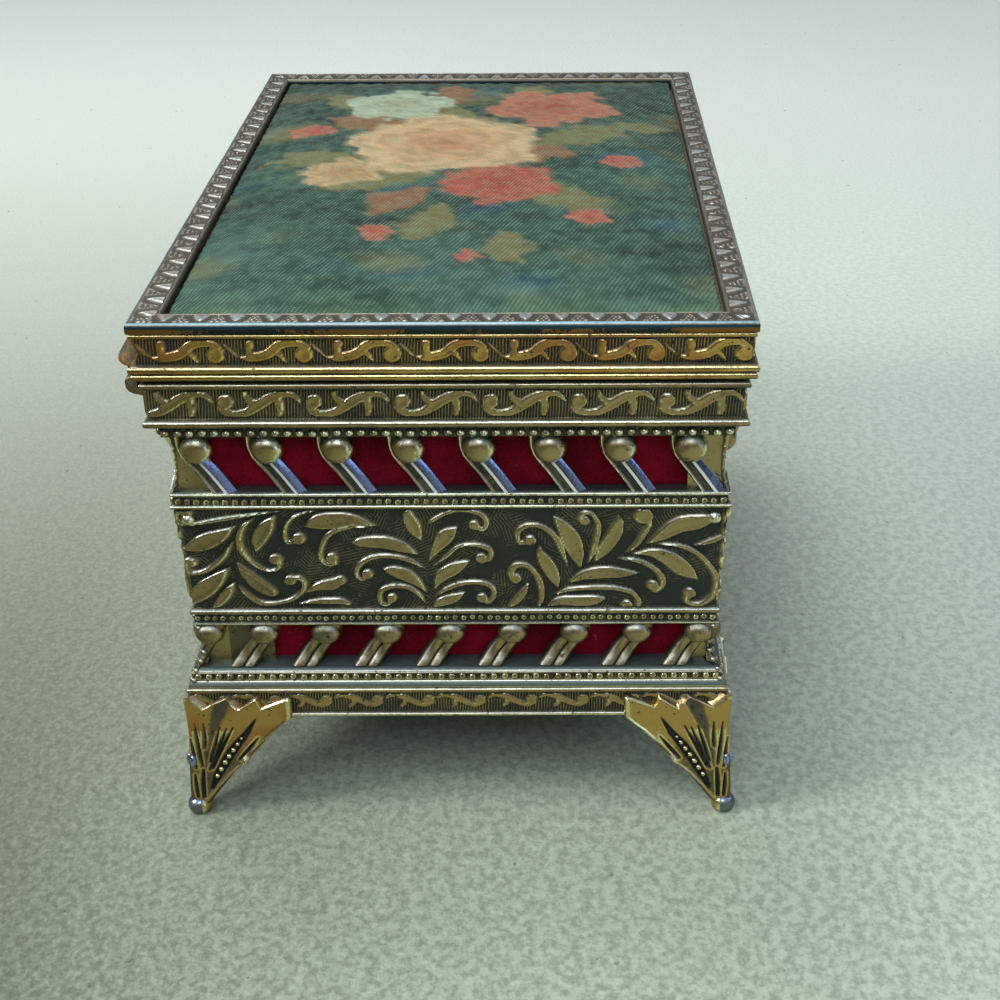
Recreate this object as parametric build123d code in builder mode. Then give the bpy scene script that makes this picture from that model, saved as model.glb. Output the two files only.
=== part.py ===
# Footed trinket box: a cast gilt-metal casket on four bracket feet, with a hinged lid whose top is a
# padded satin panel. Millimetres, +Z up, origin at the bottom centre on the floor. X runs along the long
# sides; the lid opens at the front (-Y) and is hinged along the rear (+Y). Left and right are as seen
# from the front. Every section is drawn as (inset, height): inset is measured inwards from the plane of
# the lid's flange, which is the widest rectangle of the box, and is negative outside it.

from math import cos, radians, sin, tan
from build123d import *
import os

os.makedirs("parts", exist_ok=True)

# The lid's flange rectangle, which every inset is measured from
flange_length = 126.0
flange_width = 84.0

# Heights, stacked from the floor up
foot_height = 17.6
apron_height = 4.4
edge_bead_height = 0.7
base_cove_height = 1.1
base_bead_band_height = 1.4
sill_height = 0.9
lower_window_height = 6.8
lower_string_height = 2.9
frieze_height = 17.1
upper_string_height = 3.1
upper_window_height = 8.6
head_height = 1.9
rim_height = 7.3
lid_gap = 0.3
lid_height = 8.9

apron_top = foot_height + apron_height
cove_bottom = apron_top + edge_bead_height
cove_top = cove_bottom + base_cove_height
base_top = cove_top + base_bead_band_height
lower_window_bottom = base_top + sill_height
lower_window_top = lower_window_bottom + lower_window_height
frieze_bottom = lower_window_top + lower_string_height
frieze_top = frieze_bottom + frieze_height
upper_window_bottom = frieze_top + upper_string_height
upper_window_top = upper_window_bottom + upper_window_height
wall_top = upper_window_top + head_height
rim_top = wall_top + rim_height
lid_bottom = rim_top + lid_gap
lid_top = lid_bottom + lid_height

# Insets of the outer faces
apron_inset = 1.6
edge_bead_inset = 1.3
base_bead_band_inset = 2.2
sill_inset = 2.7
lower_string_inset = 3.2
frieze_bottom_inset = 3.35
frieze_top_inset = 2.65
upper_string_inset = 2.35
head_inset = 2.0
rim_band_inset = 1.0
rim_bead_inset = 0.5
rim_foot_inset = 1.7
rim_foot_height = 0.75
rim_bead_radius = 0.55
skirt_inset = 0.4

# Galleries: the posts' fronts are hollow curves from sill to head
lower_gallery_foot_inset = 3.1
lower_gallery_waist_inset = 4.4
lower_gallery_head_inset = 3.6
upper_gallery_foot_inset = 2.75
upper_gallery_waist_inset = 3.35
upper_gallery_head_inset = 3.1
waist_share = 0.45
upper_post_width = 8.5
lower_post_width = 8.0

# Balls and slanted bars in the galleries
ball_radius = 2.15
ball_proud = 1.5
ball_back = 1.0
ball_crown_height = 0.95
ball_crown_taper = 47.0
ball_top_cover = 0.25
upper_ball_pitch = 9.9
upper_first_ball = 6.85
upper_last_ball = 8.15
lower_ball_pitch = 9.2
lower_first_ball = 13.4
lower_last_ball = 15.1
lower_post_ball_left = 5.3
lower_post_ball_right = 5.9
bar_lean = 34.0
bar_width = 3.5
upper_bar_shift = -1.4
lower_bar_shift = 0.2
reed_width = 1.1
reed_proud = 0.3
groove_depth = 0.4
bar_depth = 1.3
bar_root = 0.2
lower_blank_width = 3.6
lower_blank_depth = 0.8

# Walls, linings and floor
wall_back_inset = 5.4
lining_thickness = 1.5
lining_clearance = 0.1
rim_lip_thickness = 1.2
rim_lip_inset = 7.1
shelf_drop = 0.7
shelf_thickness = 1.5
shelf_inset = 9.4
apron_thickness = 1.8
bottom_plate_thickness = 1.0
floor_board_thickness = 1.2
floor_pad_edge_height = 1.6
floor_pad_crown = 1.4
panel_clearance = 0.2
tab_width = 4.0
tab_reach = 3.2
tab_thickness = 0.8
tab_spread = 0.32

# Lid frame
rail_width = 3.2
rail_bevel_width = 1.0
rail_bevel_drop = 0.8
rail_thickness = 1.5
rail_arris = 0.4
flange_edge_height = 1.9
flange_bead_height = 0.6
lid_moulding_height = 1.15
lid_moulding_proud = 0.35
lid_foot_inset = 1.1
skirt_thickness = 1.3

# Lid filling
picture_edge_thickness = 1.0
picture_crown = 1.5
picture_rail_clearance = 0.25
lid_board_thickness = 1.4
lid_lining_edge = 1.8
lid_lining_crown = 0.9
crown_roll = 8.0
crown_steps = 6

# Hinges at the rear, near each end
hinge_station = 5.8
hinge_width = 8.6
knuckle_radius = 0.85
knuckle_clearance = 0.2
lid_barrel_length = 4.2
pin_radius = 0.4
pin_fit = 0.02
running_clearance = 0.06
hinge_leaf_thickness = 0.7
hinge_leaf_height = 3.8
hinge_leaf_drop = 1.3
ear_height = 3.7
ear_width = 7.0
ear_proud = 2.4
ear_neck_thickness = 0.8
ear_neck_gap = 0.1

# Bracket feet
foot_leaf_proud = 0.5
foot_flare = 0.1
foot_run = 17.1
foot_root_step = 0.6
foot_shoulder_run = 14.7
foot_shoulder_drop = 2.2
foot_knee_run = 8.7
foot_tip_run = 4.3
foot_zigzag = ((2.2, 0), (3.8, 1), (7.0, 0), (9.0, 1), (11.6, 0), (12.1, 1))
foot_notch = 1.4
foot_thickness = 2.0
toe_thickness = 3.8
toe_height = 2.0

half_length = flange_length / 2
half_width = flange_width / 2
lid_moulding_inset = -lid_moulding_proud
skirt_inner_inset = skirt_inset + skirt_thickness
hinge_axis_inset = lid_moulding_inset - knuckle_clearance
hinge_axis_height = rim_top - knuckle_radius / 4
shelf_height = apron_top - shelf_drop

# One plane for each outer face: x runs to the right as seen from outside, y up, z outwards
front = Plane(origin=(0, -half_width, 0), x_dir=(1, 0, 0), z_dir=(0, -1, 0))
rear = Plane(origin=(0, half_width, 0), x_dir=(-1, 0, 0), z_dir=(0, 1, 0))
left_end = Plane(origin=(-half_length, 0, 0), x_dir=(0, -1, 0), z_dir=(-1, 0, 0))
right_end = Plane(origin=(half_length, 0, 0), x_dir=(0, 1, 0), z_dir=(1, 0, 0))


def section_plane(face):
    """The plane square to a face in which sections are drawn as (inset, height)."""
    return Plane(origin=face.origin, x_dir=-face.z_dir, z_dir=face.x_dir)


def plan_plane(face):
    """The floor plane of a face: x along it, y inwards."""
    return Plane(origin=face.origin, x_dir=face.x_dir, z_dir=(0, 0, 1))


def flange_path():
    """The flange rectangle, from the middle of the front, for mitred rings to be swept round."""
    corner_x, corner_y = half_length, half_width
    return Polyline(
        (0, -corner_y, 0),
        (corner_x, -corner_y, 0),
        (corner_x, corner_y, 0),
        (-corner_x, corner_y, 0),
        (-corner_x, -corner_y, 0),
        (0, -corner_y, 0),
    )


def waist_height(bottom, top):
    """The height of a gallery's waist, where its hollow front lies deepest."""
    return bottom + waist_share * (top - bottom)


def hollow_line(foot_inset, waist_inset, head_inset_, bottom, top):
    """The hollow front of a gallery, from its foot to its head."""
    return ThreePointArc(
        (foot_inset, bottom),
        (waist_inset, waist_height(bottom, top)),
        (head_inset_, top),
    )


def bar_section(gallery, shift):
    """A bar seen from the side: it follows the hollow, moved inwards by shift, and its back is straight."""
    foot_inset, waist_inset, head_inset_, bottom, top = gallery
    return (
        (foot_inset + shift, bottom - bar_root),
        (waist_inset + shift, waist_height(bottom, top)),
        (head_inset_ + shift, top),
        (head_inset_ + bar_depth, top),
        (foot_inset + bar_depth, bottom - bar_root),
    )


def waist_inset_at(height, foot_inset, waist_inset, bottom, top):
    """About where the hollow front lies at a height between its waist and its head."""
    waist = waist_height(bottom, top)
    share = min(1.0, abs(height - waist) / (top - waist))
    return waist_inset - share * share * (waist_inset - foot_inset)


# The two galleries: foot, waist and head insets, then the window's bottom and top
lower_gallery = (
    lower_gallery_foot_inset,
    lower_gallery_waist_inset,
    lower_gallery_head_inset,
    lower_window_bottom,
    lower_window_top,
)
upper_gallery = (
    upper_gallery_foot_inset,
    upper_gallery_waist_inset,
    upper_gallery_head_inset,
    upper_window_bottom,
    upper_window_top,
)
upper_ball_height = upper_window_top - ball_radius + ball_top_cover
lower_ball_height = lower_window_top - ball_radius + ball_top_cover
upper_ball_inset = waist_inset_at(
    upper_ball_height,
    upper_gallery_head_inset,
    upper_gallery_waist_inset,
    upper_window_bottom,
    upper_window_top,
)
lower_ball_inset = waist_inset_at(
    lower_ball_height,
    lower_gallery_head_inset,
    lower_gallery_waist_inset,
    lower_window_bottom,
    lower_window_top,
)


def upper_ball_places(half_run):
    """Ball centres along a face in the upper gallery, the end ones on the corner posts."""
    first, last = -half_run + upper_first_ball, half_run - upper_last_ball
    count = max(2, round((last - first) / upper_ball_pitch) + 1)
    step = (last - first) / (count - 1)
    return [first + step * i for i in range(count)]


def lower_ball_places(half_run):
    """Ball centres in the lower gallery: an even row, and one more on each corner post."""
    first, last = -half_run + lower_first_ball, half_run - lower_last_ball
    count = max(2, round((last - first) / lower_ball_pitch) + 1)
    step = (last - first) / (count - 1)
    row = [first + step * i for i in range(count)]
    return [-half_run + lower_post_ball_left] + row + [half_run - lower_post_ball_right]


# A gallery ball: an eight-sided drum that tapers in front, drawn with its flat back down
ball_drum_top = ball_proud - ball_crown_height
with BuildPart() as gallery_ball:
    with BuildSketch(Plane.XY.offset(-ball_back)):
        RegularPolygon(ball_radius, 8)
    extrude(amount=ball_back + ball_drum_top)
    with BuildSketch(Plane.XY.offset(ball_drum_top)):
        RegularPolygon(ball_radius, 8)
    extrude(amount=ball_crown_height, taper=ball_crown_taper)


def slanted_strip(place, top, bottom, lean_side, width):
    """The corners of a slanted strip from a place at the top down to the bottom, leaning to one side."""
    run = lean_side * (top - bottom) * tan(radians(bar_lean))
    left, right = place - width / 2, place + width / 2
    return (left, top), (left + run, bottom), (right + run, bottom), (right, top)


def make_bars(face, half_run, places, gallery, ball_height, lean_side):
    """The slanted bars of one gallery: a web with a reed along each edge, hollow like the posts."""
    low, high = gallery[3] - bar_root, ball_height
    reed_offset = (bar_width - reed_width) / 2
    with BuildPart() as reeds:
        with BuildSketch(face.offset(-wall_back_inset)):
            for place in places:
                for offset in (-reed_offset, reed_offset):
                    with BuildLine():
                        Polyline(*slanted_strip(place + offset, high, low, lean_side, reed_width), close=True)
                    make_face()
        extrude(amount=wall_back_inset)
        with BuildSketch(section_plane(face)):
            with BuildLine():
                Polyline(*bar_section(gallery, -reed_proud), close=True)
            make_face()
        extrude(amount=half_run, both=True, mode=Mode.INTERSECT)
    with BuildPart() as webs:
        with BuildSketch(face.offset(-wall_back_inset)):
            for place in places:
                with BuildLine():
                    Polyline(*slanted_strip(place, high, low, lean_side, bar_width - reed_width), close=True)
                make_face()
        extrude(amount=wall_back_inset)
        with BuildSketch(section_plane(face)):
            with BuildLine():
                Polyline(*bar_section(gallery, groove_depth - reed_proud), close=True)
            make_face()
        extrude(amount=half_run, both=True, mode=Mode.INTERSECT)
    return reeds.part, webs.part


def make_wall(face, half_run):
    """One cast wall: sill, lower gallery, string, frieze, string, upper gallery and head, in one."""
    upper_places = upper_ball_places(half_run)
    lower_places = lower_ball_places(half_run)
    upper_feet = [place + upper_bar_shift for place in upper_places]
    lower_feet = [place + lower_bar_shift for place in lower_places]
    upper_bars = make_bars(face, half_run, upper_feet, upper_gallery, upper_ball_height, 1)
    lower_bars = make_bars(face, half_run, lower_feet, lower_gallery, lower_ball_height, -1)
    with BuildPart() as wall:
        # Sill, middle and head run the whole length
        with BuildSketch(section_plane(face)):
            with BuildLine():
                Polyline(
                    (wall_back_inset, base_top),
                    (sill_inset, base_top),
                    (sill_inset, base_top + sill_height * 0.6),
                    (lower_gallery_foot_inset, lower_window_bottom),
                    (wall_back_inset, lower_window_bottom),
                    close=True,
                )
            make_face()
            with BuildLine():
                Polyline(
                    (wall_back_inset, lower_window_top),
                    (lower_gallery_head_inset, lower_window_top),
                    (lower_string_inset, lower_window_top + 0.3),
                    (lower_string_inset, frieze_bottom - 0.3),
                    (frieze_bottom_inset, frieze_bottom),
                    (frieze_top_inset, frieze_top),
                    (upper_string_inset, frieze_top + 0.3),
                    (upper_string_inset, upper_window_bottom - 0.5),
                    (upper_gallery_foot_inset, upper_window_bottom),
                    (wall_back_inset, upper_window_bottom),
                    close=True,
                )
            make_face()
            with BuildLine():
                Polyline(
                    (wall_back_inset, upper_window_top),
                    (upper_gallery_head_inset, upper_window_top),
                    (head_inset, upper_window_top + 0.3),
                    (head_inset, wall_top),
                    (wall_back_inset, wall_top),
                    close=True,
                )
            make_face()
        extrude(amount=half_run, both=True)
        # Corner posts of the two galleries
        for gallery, post_width in ((lower_gallery, lower_post_width), (upper_gallery, upper_post_width)):
            foot, waist, head, bottom, top = gallery
            for end in (-1, 1):
                middle = end * (half_run - post_width / 2)
                with BuildSketch(section_plane(face).offset(middle)):
                    with BuildLine():
                        fore = hollow_line(foot, waist, head, bottom, top)
                        Polyline(fore @ 1, (wall_back_inset, top), (wall_back_inset, bottom), fore @ 0)
                    make_face()
                extrude(amount=post_width / 2, both=True)
        # The blank beside the lower gallery's left post
        blank_middle = -half_run + lower_post_width + lower_blank_width / 2
        with BuildSketch(section_plane(face).offset(blank_middle)):
            with BuildLine():
                Polyline(
                    (wall_back_inset - lower_blank_depth, lower_window_bottom),
                    (wall_back_inset - lower_blank_depth, lower_window_top),
                    (wall_back_inset, lower_window_top),
                    (wall_back_inset, lower_window_bottom),
                    close=True,
                )
            make_face()
        extrude(amount=lower_blank_width / 2, both=True)
        for bars in upper_bars + lower_bars:
            add(bars)
        with Locations(face):
            with Locations([(u, upper_ball_height, -upper_ball_inset) for u in upper_places]):
                add(gallery_ball.part)
            with Locations([(u, lower_ball_height, -lower_ball_inset) for u in lower_places]):
                add(gallery_ball.part)
        # Mitred ends
        with BuildSketch(plan_plane(face)):
            with BuildLine():
                Polyline(
                    (-half_run, 0),
                    (half_run, 0),
                    (half_run - 2 * wall_back_inset, 2 * wall_back_inset),
                    (-half_run + 2 * wall_back_inset, 2 * wall_back_inset),
                    close=True,
                )
            make_face()
        extrude(amount=lid_top, mode=Mode.INTERSECT)
    return wall.part


# Opposite walls are the same casting turned half round
front_wall = make_wall(front, half_length)
left_end_wall = make_wall(left_end, half_width)
with BuildPart() as rear_wall:
    add(front_wall, rotation=(0, 0, 180))
with BuildPart() as right_end_wall:
    add(left_end_wall, rotation=(0, 0, 180))

# Base frame: plinth moulding, apron and the inner shelf that carries the floor
with BuildPart() as base_frame:
    with BuildLine() as base_path:
        flange_path()
    with BuildSketch(section_plane(front)):
        with BuildLine():
            Polyline(
                (apron_inset, foot_height),
                (apron_inset, apron_top),
                (edge_bead_inset, apron_top + edge_bead_height * 0.3),
                (edge_bead_inset, apron_top + edge_bead_height * 0.7),
                (apron_inset, cove_bottom),
            )
            cove_line = ThreePointArc(
                (apron_inset, cove_bottom),
                (
                    base_bead_band_inset - 0.1,
                    cove_bottom + base_cove_height * 0.45,
                ),
                (base_bead_band_inset, cove_top),
            )
            Polyline(
                cove_line @ 1,
                (base_bead_band_inset, base_top - 0.3),
                (sill_inset, base_top),
                (wall_back_inset, base_top),
                (wall_back_inset, shelf_height),
                (shelf_inset, shelf_height),
                (shelf_inset, shelf_height - shelf_thickness),
                (apron_inset + apron_thickness, shelf_height - shelf_thickness),
                (apron_inset + apron_thickness, foot_height),
                (apron_inset, foot_height),
            )
        make_face()
    sweep(path=base_path.wire(), transition=Transition.RIGHT)

# Rim frame: the cornice band, with an inner lip that caps the linings
lower_bead_middle = wall_top + rim_foot_height + rim_bead_radius
upper_bead_middle = rim_top - rim_bead_radius
with BuildPart() as rim_frame:
    with BuildLine() as rim_path:
        flange_path()
    with BuildSketch(section_plane(front)):
        with BuildLine():
            Polyline(
                (rim_foot_inset, wall_top),
                (rim_band_inset, lower_bead_middle - rim_bead_radius),
            )
            lower_bead = ThreePointArc(
                (rim_band_inset, lower_bead_middle - rim_bead_radius),
                (rim_bead_inset, lower_bead_middle),
                (rim_band_inset, lower_bead_middle + rim_bead_radius),
            )
            Line(lower_bead @ 1, (rim_band_inset, upper_bead_middle - rim_bead_radius))
            upper_bead = ThreePointArc(
                (rim_band_inset, upper_bead_middle - rim_bead_radius),
                (rim_bead_inset, upper_bead_middle),
                (rim_band_inset, upper_bead_middle + rim_bead_radius),
            )
            Polyline(
                upper_bead @ 1,
                (rim_band_inset + 0.3, rim_top),
                (rim_lip_inset, rim_top),
                (rim_lip_inset, rim_top - rim_lip_thickness),
                (wall_back_inset, rim_top - rim_lip_thickness),
                (wall_back_inset, wall_top),
                (rim_foot_inset, wall_top),
            )
        make_face()
    sweep(path=rim_path.wire(), transition=Transition.RIGHT)

# Lid frame: the rail round the picture and the skirt, in one casting
flange_bottom = lid_top - flange_edge_height
band_top = flange_bottom - flange_bead_height
moulding_bottom = lid_bottom + 0.2
moulding_middle = moulding_bottom + lid_moulding_height
moulding_top = moulding_middle + lid_moulding_height
with BuildPart() as lid_frame:
    with BuildLine() as lid_path:
        flange_path()
    with BuildSketch(section_plane(front)):
        with BuildLine():
            Polyline(
                (lid_foot_inset, lid_bottom),
                (skirt_inset + 0.2, moulding_bottom),
            )
            low_moulding = ThreePointArc(
                (skirt_inset + 0.2, moulding_bottom),
                (skirt_inset - 0.4, (moulding_bottom + moulding_middle) / 2),
                (skirt_inset, moulding_middle),
            )
            high_moulding = ThreePointArc(
                low_moulding @ 1,
                (lid_moulding_inset, (moulding_middle + moulding_top) / 2),
                (skirt_inset, moulding_top),
            )
            Line(high_moulding @ 1, (skirt_inset, band_top))
            flange_bead = ThreePointArc(
                (skirt_inset, band_top),
                (skirt_inset - 0.35, (band_top + flange_bottom) / 2),
                (skirt_inset - 0.1, flange_bottom),
            )
            Polyline(
                flange_bead @ 1,
                (0, flange_bottom + 0.2),
                (0, lid_top - rail_arris),
                (rail_arris, lid_top),
                (rail_width, lid_top),
                (rail_width + rail_bevel_width, lid_top - rail_bevel_drop),
                (rail_width + rail_bevel_width, lid_top - rail_thickness),
                (skirt_inner_inset, lid_top - rail_thickness),
                (skirt_inner_inset, lid_bottom),
                (lid_foot_inset, lid_bottom),
            )
        make_face()
    sweep(path=lid_path.wire(), transition=Transition.RIGHT)


def inset_rectangle(inset):
    """The flange rectangle moved inwards by inset."""
    return Rectangle(flange_length - 2 * inset, flange_width - 2 * inset)


def crowned_pad(edge_inset, bottom, edge_height, crown, direction=1):
    """A padded panel: straight sides, then a rolled edge that rises to a flat-topped crown."""
    with BuildPart() as pad:
        with BuildSketch(Plane.XY.offset(bottom)):
            inset_rectangle(edge_inset)
        extrude(amount=direction * edge_height)
        sections = []
        for step in range(crown_steps + 1):
            angle = radians(90 * step / crown_steps)
            height = bottom + direction * (edge_height + crown * sin(angle))
            shrink = crown_roll * (1 - cos(angle)) ** 2
            with BuildSketch(Plane.XY.offset(height)) as level:
                inset_rectangle(edge_inset + shrink)
            sections.append(level.sketch)
        loft(sections=sections, ruled=True)
    return pad.part


# The picture pad's edge lies under the rail, and its crown rises through the rail's opening
rail_underside = lid_top - rail_thickness
picture_opening_inset = rail_width + rail_bevel_width + picture_rail_clearance
picture_edge_top = rail_underside - picture_rail_clearance
picture_edge_bottom = picture_edge_top - picture_edge_thickness
with BuildPart() as lid_picture_pad:
    with BuildSketch(Plane.XY.offset(picture_edge_bottom)):
        inset_rectangle(skirt_inner_inset + panel_clearance)
    extrude(amount=picture_edge_thickness)
    add(
        crowned_pad(
            picture_opening_inset,
            picture_edge_bottom,
            lid_top - rail_bevel_drop - picture_edge_bottom,
            picture_crown,
        )
    )

lid_board_bottom = picture_edge_bottom - lid_board_thickness
with BuildPart() as lid_board:
    with BuildSketch(Plane.XY.offset(lid_board_bottom)):
        inset_rectangle(skirt_inner_inset + panel_clearance)
    extrude(amount=lid_board_thickness)

lid_lining_pad = crowned_pad(
    skirt_inner_inset + 2 * panel_clearance,
    lid_board_bottom,
    lid_lining_edge,
    lid_lining_crown,
    direction=-1,
)

# Floor: the plate below the shelf, the board on it and the pad on the board
plate_top = shelf_height - shelf_thickness
plate_inset = apron_inset + apron_thickness + panel_clearance
with BuildPart() as bottom_plate:
    with BuildSketch(Plane.XY.offset(plate_top - bottom_plate_thickness)):
        inset_rectangle(plate_inset)
    extrude(amount=bottom_plate_thickness)

lining_face_inset = wall_back_inset + lining_thickness + lining_clearance
with BuildPart() as floor_board:
    with BuildSketch(Plane.XY.offset(shelf_height)):
        inset_rectangle(lining_face_inset + panel_clearance)
    extrude(amount=floor_board_thickness)

floor_pad = crowned_pad(
    lining_face_inset + panel_clearance,
    shelf_height + floor_board_thickness,
    floor_pad_edge_height,
    floor_pad_crown,
)

# Bent tabs soldered inside the apron, two on each long side and one on each end
with BuildPart() as bottom_tabs:
    tab_top = plate_top - bottom_plate_thickness
    for face, places in (
        (front, (-tab_spread * flange_length, tab_spread * flange_length)),
        (rear, (-tab_spread * flange_length, tab_spread * flange_length)),
        (left_end, (0,)),
        (right_end, (0,)),
    ):
        for place in places:
            with BuildSketch(section_plane(face).offset(place)):
                tab_root = apron_inset + apron_thickness
                with BuildLine():
                    Polyline(
                        (tab_root, tab_top),
                        (tab_root + tab_reach, tab_top),
                        (tab_root + tab_reach, tab_top - tab_thickness * 0.5),
                        (tab_root + tab_thickness, tab_top - tab_thickness),
                        (tab_root, tab_top - tab_thickness),
                        close=True,
                    )
                make_face()
            extrude(amount=tab_width / 2, both=True)


def make_lining(face, half_run, end_inset):
    """A velvet-covered board standing on the shelf behind a wall, under the rim's lip."""
    top = rim_top - rim_lip_thickness - lining_clearance
    with BuildPart() as lining:
        with BuildSketch(section_plane(face)):
            with BuildLine():
                Polyline(
                    (wall_back_inset + lining_clearance, shelf_height),
                    (wall_back_inset + lining_clearance, top),
                    (lining_face_inset, top),
                    (lining_face_inset, shelf_height),
                    close=True,
                )
            make_face()
        extrude(amount=half_run - end_inset, both=True)
    return lining.part


front_lining = make_lining(front, half_length, wall_back_inset + lining_clearance)
rear_lining = make_lining(rear, half_length, wall_back_inset + lining_clearance)
left_lining = make_lining(left_end, half_width, lining_face_inset + lining_clearance)
right_lining = make_lining(right_end, half_width, lining_face_inset + lining_clearance)

# A bracket foot: one leaf-edged wing along the front, mirrored across the corner's diagonal
foot_leaf_inset = apron_inset - foot_leaf_proud
corner_diagonal = Plane(origin=(-half_length, -half_width, 0), x_dir=(1, 1, 0), z_dir=(1, -1, 0))
with BuildPart() as foot_front_left:
    with BuildSketch(front.offset(-2 * toe_thickness)):
        with BuildLine():
            Polyline(
                (-half_length - 1, 0),
                (-half_length - 1, apron_top),
                *((-half_length + run, apron_top - notch * foot_notch) for run, notch in foot_zigzag),
                (-half_length + foot_run, apron_top),
                (-half_length + foot_run - 1.2, foot_height + foot_root_step),
                (-half_length + foot_shoulder_run, foot_height - foot_shoulder_drop),
                (-half_length + foot_knee_run, foot_height * 0.49),
                (-half_length + foot_tip_run, toe_height),
                (-half_length + foot_tip_run - 0.5, 0),
                close=True,
            )
        make_face()
    extrude(amount=3 * toe_thickness)
    with BuildSketch(section_plane(front)):
        with BuildLine():
            leaf_line = ThreePointArc(
                (foot_leaf_inset, apron_top),
                (foot_leaf_inset + 0.3, foot_height - 1.8),
                (foot_leaf_inset - 0.6, foot_height * 0.47),
            )
            shin_line = ThreePointArc(
                leaf_line @ 1,
                (0.2, foot_height * 0.3),
                (-foot_flare, toe_height),
            )
            toe_line = ThreePointArc(
                shin_line @ 1,
                (0.05, toe_height * 0.35),
                (0.7, 0),
            )
            Polyline(
                toe_line @ 1,
                (toe_thickness - 0.3, 0),
                (toe_thickness, 0.4),
                (toe_thickness, toe_height * 0.8),
                (foot_thickness + 0.9, toe_height * 2.2),
                (foot_thickness + 0.7, foot_height * 0.5),
                (apron_inset + apron_thickness, foot_height * 0.85),
                (apron_inset + apron_thickness, foot_height),
                (apron_inset, foot_height),
                (apron_inset, apron_top),
                (foot_leaf_inset, apron_top),
            )
        make_face()
    extrude(amount=half_length + 1, both=True, mode=Mode.INTERSECT)
    split(bisect_by=corner_diagonal, keep=Keep.TOP)
    mirror(about=corner_diagonal)

with BuildPart() as foot_front_right:
    add(mirror(foot_front_left.part, about=Plane.YZ, mode=Mode.PRIVATE))
with BuildPart() as foot_rear_left:
    add(mirror(foot_front_left.part, about=Plane.XZ, mode=Mode.PRIVATE))
with BuildPart() as foot_rear_right:
    add(mirror(foot_front_right.part, about=Plane.XZ, mode=Mode.PRIVATE))


def make_case_leaf(middle):
    """A hinge leaf on the rim's rear face, with a knuckle standing up at each end of it."""
    arm_length = (hinge_width - lid_barrel_length) / 2 - knuckle_clearance
    leaf_top = rim_top - hinge_leaf_drop
    leaf_face_inset = rim_band_inset - hinge_leaf_thickness
    rim_clear_inset = rim_bead_inset - 0.1
    with BuildPart() as leaf:
        with BuildSketch(section_plane(rear).offset(middle)):
            with BuildLine():
                Polyline(
                    (rim_band_inset, leaf_top),
                    (rim_band_inset, leaf_top - hinge_leaf_height),
                    (leaf_face_inset, leaf_top - hinge_leaf_height + 0.4),
                    (leaf_face_inset, leaf_top),
                    close=True,
                )
            make_face()
        extrude(amount=hinge_width / 2, both=True)
        for side in (-1, 1):
            arm_middle = middle + side * (hinge_width - arm_length) / 2
            with BuildSketch(section_plane(rear).offset(arm_middle)):
                with BuildLine():
                    Polyline(
                        (rim_clear_inset, leaf_top - 0.5),
                        (rim_clear_inset, hinge_axis_height),
                        (hinge_axis_inset - knuckle_radius * 0.9, hinge_axis_height),
                        (hinge_axis_inset - knuckle_radius * 0.6, hinge_axis_height - 0.8),
                        (leaf_face_inset, leaf_top - 0.9),
                        close=True,
                    )
                make_face()
                with Locations((hinge_axis_inset, hinge_axis_height)):
                    Circle(knuckle_radius)
                    Circle(pin_radius + pin_fit, mode=Mode.SUBTRACT)
            extrude(amount=arm_length / 2, both=True)
    return leaf.part


def make_lid_ear(middle):
    """A leaf-shaped ear on the lid's rear skirt, drawn down in a neck to the hinge barrel."""
    ear_bottom = moulding_top
    ear_top = ear_bottom + ear_height
    belly_inset = skirt_inset - ear_proud
    neck_inner = lid_moulding_inset - ear_neck_gap
    with BuildPart() as ear:
        with BuildSketch(rear.offset(-skirt_inset - 1)):
            with BuildLine():
                left_edge = ThreePointArc(
                    (middle - lid_barrel_length / 2, ear_bottom),
                    (middle - ear_width / 2, ear_bottom + ear_height * 0.4),
                    (middle, ear_top),
                )
                ThreePointArc(
                    left_edge @ 1,
                    (middle + ear_width / 2, ear_bottom + ear_height * 0.4),
                    (middle + lid_barrel_length / 2, ear_bottom),
                )
                Polyline(
                    (middle + lid_barrel_length / 2, ear_bottom),
                    (middle + lid_barrel_length / 2, hinge_axis_height),
                    (middle - lid_barrel_length / 2, hinge_axis_height),
                    left_edge @ 0,
                )
            make_face()
        extrude(amount=2 * ear_proud + 1)
        with BuildSketch(section_plane(rear).offset(middle)):
            with BuildLine():
                Polyline(
                    (skirt_inset, ear_bottom + 0.1),
                    (skirt_inset, ear_top),
                    (skirt_inset - 0.3, ear_top),
                    (belly_inset, ear_bottom + ear_height * 0.35),
                    (belly_inset, ear_bottom),
                    (neck_inner - ear_neck_thickness, hinge_axis_height),
                    (neck_inner, hinge_axis_height),
                    (neck_inner, ear_bottom + 0.1),
                    close=True,
                )
            make_face()
        extrude(amount=ear_width, both=True, mode=Mode.INTERSECT)
        with BuildSketch(section_plane(rear).offset(middle)):
            with Locations((hinge_axis_inset, hinge_axis_height)):
                Circle(knuckle_radius)
        extrude(amount=lid_barrel_length / 2, both=True)
        with BuildSketch(section_plane(rear).offset(middle)):
            with Locations((hinge_axis_inset, hinge_axis_height)):
                Circle(pin_radius + running_clearance)
        extrude(amount=ear_width, both=True, mode=Mode.SUBTRACT)
    return ear.part


def make_hinge_pin(middle):
    """The pin through one hinge, as long as the hinge is wide."""
    with BuildPart() as pin:
        with BuildSketch(section_plane(rear).offset(middle - hinge_width / 2)):
            with Locations((hinge_axis_inset, hinge_axis_height)):
                Circle(pin_radius)
        extrude(amount=hinge_width)
    return pin.part


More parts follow.
